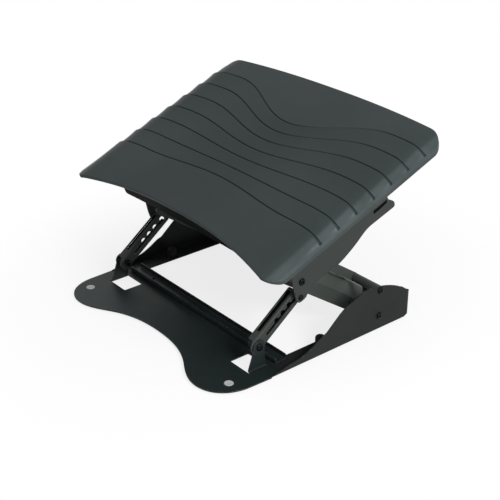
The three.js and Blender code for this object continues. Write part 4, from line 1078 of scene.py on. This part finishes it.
def bracket():
    """A side plate with a flange on top, a lobe round the notch pin and a slot near the rear."""
    u, w = PIN_PLACE
    flange = BRACKET_INNER - BRACKET_FLANGE
    section = Section([(flange, BRACKET_TOP), (BRACKET_OUTER, BRACKET_TOP, BRACKET_BEND),
                       (BRACKET_OUTER, BRACKET_RUN)], side=-1)

    def down(height):
        return section.folds[-1] + BRACKET_TOP - BRACKET_BEND - height

    edge = [(down(-BRACKET_DEEP * deep), BRACKET_LONG * along, 10) for along, deep in BRACKET_SHARES]
    loop = rounded([
        (0, BRACKET_FRONT, 4), (down(w + 29.5), BRACKET_FRONT, 3.5), (down(w + LOBE), u - LOBE, LOBE),
        (down(w - LOBE), u - LOBE, LOBE), (down(w - LOBE), u + LOBE, 3.5), *edge, (down(-50), 157, 10),
        (0, 160, 4),
    ], steps=10)
    holes = [ring((down(spot[1]), spot[0]), radius)
             for spot, radius in ((LOWER_PIVOT, SCREW_HOLE), (UPPER_PIVOT, SCREW_HOLE), (PIN_PLACE, 2.5))]
    holes.append(rounded([(down(height), along, 2.4) for height, along in SLOT_CORNERS]))
    holes += [ring((SCREW_X["outer"] - flange, row), PLATFORM_HOLE, 24) for row in SCREW_ROWS.values()]
    return folded(section, [loop, *holes], BRACKET_SHEET, "xzy")


def slot_strip():
    """A thin dark strip that closes the bracket's slot from inside, painted shade for the seam under
    the platform's rim.
    """
    face = BRACKET_INNER + 1.3
    section = Section([(face, 0), (face, BRACKET_RUN)], side=-1)
    strip = rounded([(s, t, 2) for s, t in STRIP_CORNERS])
    return folded(section, [strip], STRIP_SHEET, "xzy", edge=0.2)


def beam(front, lip_half, lip_depth, rise):
    """An angle: a flange under the platform and a lip in front, its lower edge bowed upwards as a
    parabola. A lip shorter than the flange is notched at its ends."""
    rear = front + BEAM_FLANGE
    section = Section([(rear, BEAM_TOP), (front, BEAM_TOP, BEAM_BEND), (front, BEAM_TOP - lip_depth - 9)])
    fold = section.folds[-1]
    low = fold + lip_depth - BEAM_BEND
    x = np.linspace(-1, 1, 41)[1:-1]
    bow = np.stack([low - rise * (1 - x ** 2), x * (lip_half - 4)], 1)
    notch = [(fold + 0.5, -BEAM_HALF, 1), (fold + 0.5, -lip_half - 2, 1), (fold + 2, -lip_half, 1)]
    notch = notch if lip_half < BEAM_HALF else []
    loop = rounded([(0, -BEAM_HALF, 4), *notch, (low, -lip_half, 4), *bow, (low, lip_half, 4),
                    *[(s, -t, r) for s, t, r in notch[::-1]], (0, BEAM_HALF, 4)])
    holes = [ring((rear - row, way * x), PLATFORM_HOLE, 24) for row in SCREW_ROWS.values()
             if front < row < rear for x in SCREW_X.values() for way in SIDES.values()]
    return folded(section, [loop, *holes], BEAM_SHEET, "yzx")


def under_platform(shape):
    """The shape, drawn in the platform's own frame, in the model's."""
    return shape.moved(CROWN * (0, 1, 1), TILT)


add_pair("bracket_{}_pressed", under_platform(bracket()), frame_coat, "bracket_{}")
# Dark strips behind the brackets' slots paint the seam's shade.
add_pair("bracket_{}_strip", under_platform(slot_strip()), shaded_plate_coat, "bracket_{}")
# The beams take the darker copy of the plate's coat, painted shade under the platform.
add_piece("front_beam_folded", under_platform(beam(-44.0, BEAM_HALF, 38.0, 5.0)), shaded_plate_coat, "front_beam")
add_piece("rear_beam_folded", under_platform(beam(122.0, BEAM_HALF - 20, 16.0, 0.0)), shaded_plate_coat, "rear_beam")


def platform_screw(seat, end):
    """A socket head under a flange: drawn along X, then stood on end with its head down."""
    shape = socket_screw(0.0, 4.0, 2.2, 2.0, -(end - seat), socket=1.25)
    return Shape(shape.points[:, [2, 1, 0]] * (1, 1, -1) + (0, 0, seat), shape.quads, shape.tris)


for row, u in SCREW_ROWS.items():
    for column, x in SCREW_X.items():
        under = BRACKET_TOP - BRACKET_SHEET if column == "outer" else BEAM_TOP - BEAM_SHEET
        shape = platform_screw(under - GAP, -STEP_HEIGHT / 2 - THICK / 2 - GAP)
        for side, way in SIDES.items():
            node = f"platform_screw_{row}_{column}_{side}"
            add_piece(f"{node}_socket", under_platform(shape.moved((way * x, u, 0))), fastener, node)


# Platform: flat across the middle, rolled down at the sides, with wave-shaped grip steps
GROOVES, FIRST_GROOVE, GROOVE_PITCH, FIRST_BOW, BOW_STEP, BOW_HALF = 7, 197.5, 31.5, 47.0, 9.8, 155.0
PLATFORM_FRONT, PLATFORM_REAR, FRONT_HOLLOW, REAR_SWEEP = 81.5, 243.0, 24.8, 10.0
FRONT_CORNER, REAR_CORNER = 22.0, 26.0
END_DROOP, DROOP_START = 7.0, 155.0
RIM, UNDER_RIM, SKIRT, FADE_START, FADE = 2.0, 1.3, 1.6, 215.0, 4.0
GROOVE_DEPTH, GROOVE_FLOOR, GROOVE_SIDE = 1.5, 1.7, 1.1
# Where the rows of a band lie: behind its front line, across it, and ahead of its rear line
GAPS_BEHIND = (0.8, 1.6, 1.9, 2.2, 2.5, 2.8, 3.4)
GAPS_AHEAD = (3.6, 2.6, 2.0, 1.8, 1.6, 1.35, 1.1, 0.9, 0.7, 0.0)
BAND_SHARES, NARROW_BAND = (0.18, 0.32, 0.46, 0.6, 0.74, 0.85), 26.0
# How much of the surface's wear and painted shade each row of the rim keeps, and what the rim's own rubbing
# adds
WEAR_AND_SHADE_LEFT = (1, 0.98, 0.95, 0.9, 0.85, 0.75, 0.6, 0.4, 0.2, 0, 0, 0, 0, 0)
RIM_RUBBED = (0, 0.1, 0.2, 0.2, 0.2, 0.1, 0, 0, 0, 0, 0, 0, 0, 0)


def bow_at(x):
    """1 in the middle, and down to 0 at BOW_HALF as the square of a cosine."""
    return np.cos(np.minimum(1, np.abs(x) / BOW_HALF) * RIGHT_ANGLE) ** 2


def groove_line(i, x):
    """A bow in the middle that lessens from groove to groove, and ends that turn forward."""
    outward = np.maximum(0, np.abs(x) - DROOP_START) / (PLATFORM_HALF - DROOP_START)
    return FIRST_GROOVE - GROOVE_PITCH * i - END_DROOP * outward ** 2 - (FIRST_BOW - BOW_STEP * i) * bow_at(x)


def corner_reach(x, corner, inset):
    """How far an edge reaches past its corner circles' centres."""
    past = np.maximum(np.abs(x) - PLATFORM_HALF + corner, 0)
    return np.sqrt(np.maximum((corner - inset) ** 2 - past ** 2, 0)) - corner


def front_edge(x, inset):
    """Hollow as a cosine between the two corner circles."""
    share = np.minimum(1, np.abs(x) / (PLATFORM_HALF - FRONT_CORNER))
    hollow = FRONT_HOLLOW * np.cos(share ** 1.33 * RIGHT_ANGLE)
    return hollow - PLATFORM_FRONT - corner_reach(x, FRONT_CORNER, inset)


def rear_edge(x, inset):
    """Swept forward as a power of the way out, between the two corner circles."""
    return PLATFORM_REAR - REAR_SWEEP * np.abs(x / 200) ** 2.3 + corner_reach(x, REAR_CORNER, inset)


def smooth(share):
    """0 below 0, 1 above 1, and a cubic without a kink between."""
    share = np.clip(share, 0, 1)
    return share ** 2 * (3 - 2 * share)


def band_rows(front, rear, climbs, first):
    """Rows of one band from its front line to its rear one, as (line across, height, sunk). The
    surface leaves the groove ahead, climbs as a power of the share of the way, and at the rear
    falls into the next groove, whose floor is the band's last row."""
    width = rear - front
    close = np.minimum(1, width / NARROW_BAND)
    lines = [] if first else [front + gap * close for gap in GAPS_BEHIND]
    lines += [front + share * width for share in BAND_SHARES]
    if climbs:
        lines += [rear - gap * close for gap in GAPS_AHEAD]
    rows = []
    for line in lines:
        share = (line - front) / width
        climb = STEP_HEIGHT * np.clip(share, 0, 1) ** 1.5 if climbs else 0 * line
        left = smooth((rear - line - GROOVE_FLOOR / 2) / GROOVE_SIDE) if climbs else 1 + 0 * line
        risen = 1 + 0 * line if first else smooth((line - front - GROOVE_FLOOR) / GROOVE_SIDE)
        height = climb * left - GROOVE_DEPTH * (1 - left * risen)
        # The third value, how far a row lies in a groove, sets the shade painted into the groove.
        rows.append((line, height, 1 - left * risen))
    return rows


def platform_rows(x, inset):
    """The rows of all bands, with the front and the rear edge before and after them."""
    front, rear = front_edge(x, inset), rear_edge(x, inset)
    lines = [front, *[groove_line(i, x) for i in range(GROOVES - 1, -1, -1)], rear]
    rows = [(front, 0 * x, 0 * x)]
    for band in range(len(lines) - 1):
        rows += band_rows(lines[band], lines[band + 1], band < len(lines) - 2, band == 0)
    return rows + [(rear, 0 * x, 0 * x)]


def platform_shell():
    """The top and the underside are grids of the same rows and columns. Between them the rim
    leaves the top's slope in an arc, runs down with the steps' relief turned outwards, and
    turns in again under the edge, a little below the underside. The colour mark is below zero
    for painted shade, in a groove and in a band where the roll begins, and above zero for wear
    with a painted highlight on the roll beyond it."""
    columns = 201
    x = (PLATFORM_HALF - RIM) * np.sin(np.linspace(-RIGHT_ANGLE, RIGHT_ANGLE, columns))
    y, lift, sunk = (np.array(part) for part in zip(*platform_rows(x, RIM)))
    across = np.broadcast_to(x, y.shape)
    full = 1 - smooth((np.abs(across) - FADE_START) / FADE)
    lift, sunk = lift * full + 0.4 * STEP_HEIGHT * (1 - full), sunk * full
    base = -STEP_HEIGHT / 2 - roll_drop(across)
    top, under = base + lift, base - THICK
    grid = lattice(len(y), columns).reshape(-1, 4)
    # A band of painted shade where the roll begins, and wear with a painted highlight on the roll beyond it.
    painted_shade_band = np.exp(-((np.abs(across) - 199) / 6) ** 2) * 0.26
    wear_and_shade_marks = 0.9 * smooth((np.abs(across) - 203) / 9) - painted_shade_band
    # In a groove the mark is painted shade, as deep as the row lies in the groove.
    wear_and_shade_marks = np.where(sunk > 0, -sunk, wear_and_shade_marks)
    shape = Shape(np.stack([across, y, top], -1), grid, worn=wear_and_shade_marks.ravel())
    shape = shape + Shape(np.stack([across, y, under], -1), grid[:, ::-1])

    def border(field):
        return np.concatenate([field[0, :-1], field[:-1, -1], field[-1, :0:-1], field[:0:-1, 0]])

    bx, by, high, low, rise = map(border, (across, y, top, under, lift))
    run = np.stack([np.roll(bx, -1) - np.roll(bx, 1), np.roll(by, -1) - np.roll(by, 1)], 1)
    out = np.stack([run[:, 1], -run[:, 0]], 1) / np.maximum(np.linalg.norm(run, axis=1), 1e-9)[:, None]
    sideways = np.abs(out[:, 0])
    low = low - SKIRT * sideways
    start = np.arctan(roll_slope(bx) * sideways)
    relief = 0.45 * (STEP_HEIGHT - rise) * sideways
    rim = []
    for share in np.linspace(0, 1, 7):
        turn = start + share * (RIGHT_ANGLE - start)
        reach_out = RIM * (np.sin(turn) - np.sin(start)) / (1 - np.sin(start))
        rim.append((reach_out - relief * share, high - RIM * (np.cos(start) - np.cos(turn))))
    for turn in np.linspace(0, RIGHT_ANGLE, 5):
        inward = UNDER_RIM * (1 - np.cos(turn))
        rim.append((RIM - relief - inward, low + UNDER_RIM * (1 - np.sin(turn))))
    rim += [(0 * low, low), (0 * low, low + SKIRT * sideways)]
    points = np.array([np.stack([bx + far * out[:, 0], by + far * out[:, 1], level], 1)
                       for far, level in rim])
    edge_wear_and_shade = border(wear_and_shade_marks)
    worn = edge_wear_and_shade * np.array(WEAR_AND_SHADE_LEFT)[:, None] + np.outer(RIM_RUBBED, edge_wear_and_shade > -0.3)
    faces = lattice(len(rim), len(bx), closed=True).reshape(-1, 4)[:, ::-1]
    return shape + Shape(points, faces, worn=worn.ravel())


def boss(x, u):
    """A hollow boss from the underside down to the beam, flared at its root."""
    root = -STEP_HEIGHT / 2 - THICK
    low = BEAM_TOP + 0.3
    rows = [(low, 2.3), (low, 5.2), (low + 0.3, 5.5), (root - 0.8, 5.5), (root - 0.2, 5.9), (root + 0.8, 6.5),
            (root + 2.2, 2.3)]
    return turned(closed_profile(rows), "z", 32).moved((x, u, 0))


add_piece("platform_moulded", under_platform(platform_shell()), moulding, "platform")
first_boss, *bosses = [boss(way * x, u) for u in SCREW_ROWS.values() for x in SCREW_X.values()
                       for way in SIDES.values()]
add_piece("platform_bosses", under_platform(sum(bosses, first_boss)), moulding, "platform")


# Floor, light and camera
WHITE, PALE, DIM = (1.0, 1.0, 1.0, 1.0), (0.93, 0.93, 0.93, 1.0), (0.32, 0.32, 0.32, 1.0)
FLOOR_HALF = 6.0

ground = Finish("floor", 0.9)
ground.colour(PALE)
distance = ground.node("ShaderNodeVectorMath", {0: ground.place, 1: (0.0, 0.05, 0.0)}, output="Value",
                       operation="DISTANCE")
glow = ground.node("ShaderNodeEmission", {"Color": WHITE, "Strength": 1.0})
white_share = ground.seen_white() * (distance.steps(0.2, 0.5) * 0.2 + 0.8)
matt = Wire(ground, ground.shader.outputs[0])
surface = ground.node("ShaderNodeMixShader", {0: white_share, 1: matt, 2: glow})
ground.feed(ground.tree.nodes["Material Output"].inputs["Surface"], surface)
corners = [(x * FLOOR_HALF, y * FLOOR_HALF, 0) for x, y in ((-1, -1), (1, -1), (1, 1), (-1, 1))]
floor_mesh = bpy.data.meshes.new("floor")
floor_mesh.from_pydata(corners, [], [(0, 1, 2, 3)])
floor_mesh.materials.append(ground.material)
floor = bpy.data.objects.new("floor", floor_mesh)
bpy.context.scene.collection.objects.link(floor)


def soft_box(name, place, target, size, power):
    """A square area light that faces its target."""
    data = bpy.data.lights.new(name, "AREA")
    data.shape, data.size, data.energy = "SQUARE", size, power
    light = bpy.data.objects.new(name, data)
    light.location = place
    light.rotation_euler = (Vector(target) - Vector(place)).to_track_quat("-Z", "Y").to_euler()
    bpy.context.scene.collection.objects.link(light)


soft_box("overhead", (0.1, 0.0, 1.9), (0, 0, 0.1), 1.4, 5.0)
soft_box("right", (1.8, -0.05, 1.22), (0, 0, 0.12), 0.7, 38.0)
soft_box("front", (0.7, -0.85, 1.1), (0, 0, 0.12), 0.5, 1.6)

world = bpy.data.worlds.new("studio")
bpy.context.scene.world = world
world.use_nodes = True
sky = Graph(world.node_tree)
sky.feed(sky.tree.nodes["Background"].inputs["Color"], sky.mixed(sky.seen_white(), DIM, WHITE))

camera_data = bpy.data.cameras.new("camera")
camera_data.lens, camera_data.sensor_width = 77.95, 36.0
camera = bpy.data.objects.new("camera", camera_data)
camera.location = (1.06187, -0.79656 + SHIFT / 1000, 0.76121 + PLATE_TOP / 1000)
camera.rotation_euler = (math.radians(90 - 26.698), 0.0, math.radians(50.608))
bpy.context.scene.collection.objects.link(camera)
bpy.context.scene.camera = camera
bpy.context.scene.view_settings.view_transform = "Standard"
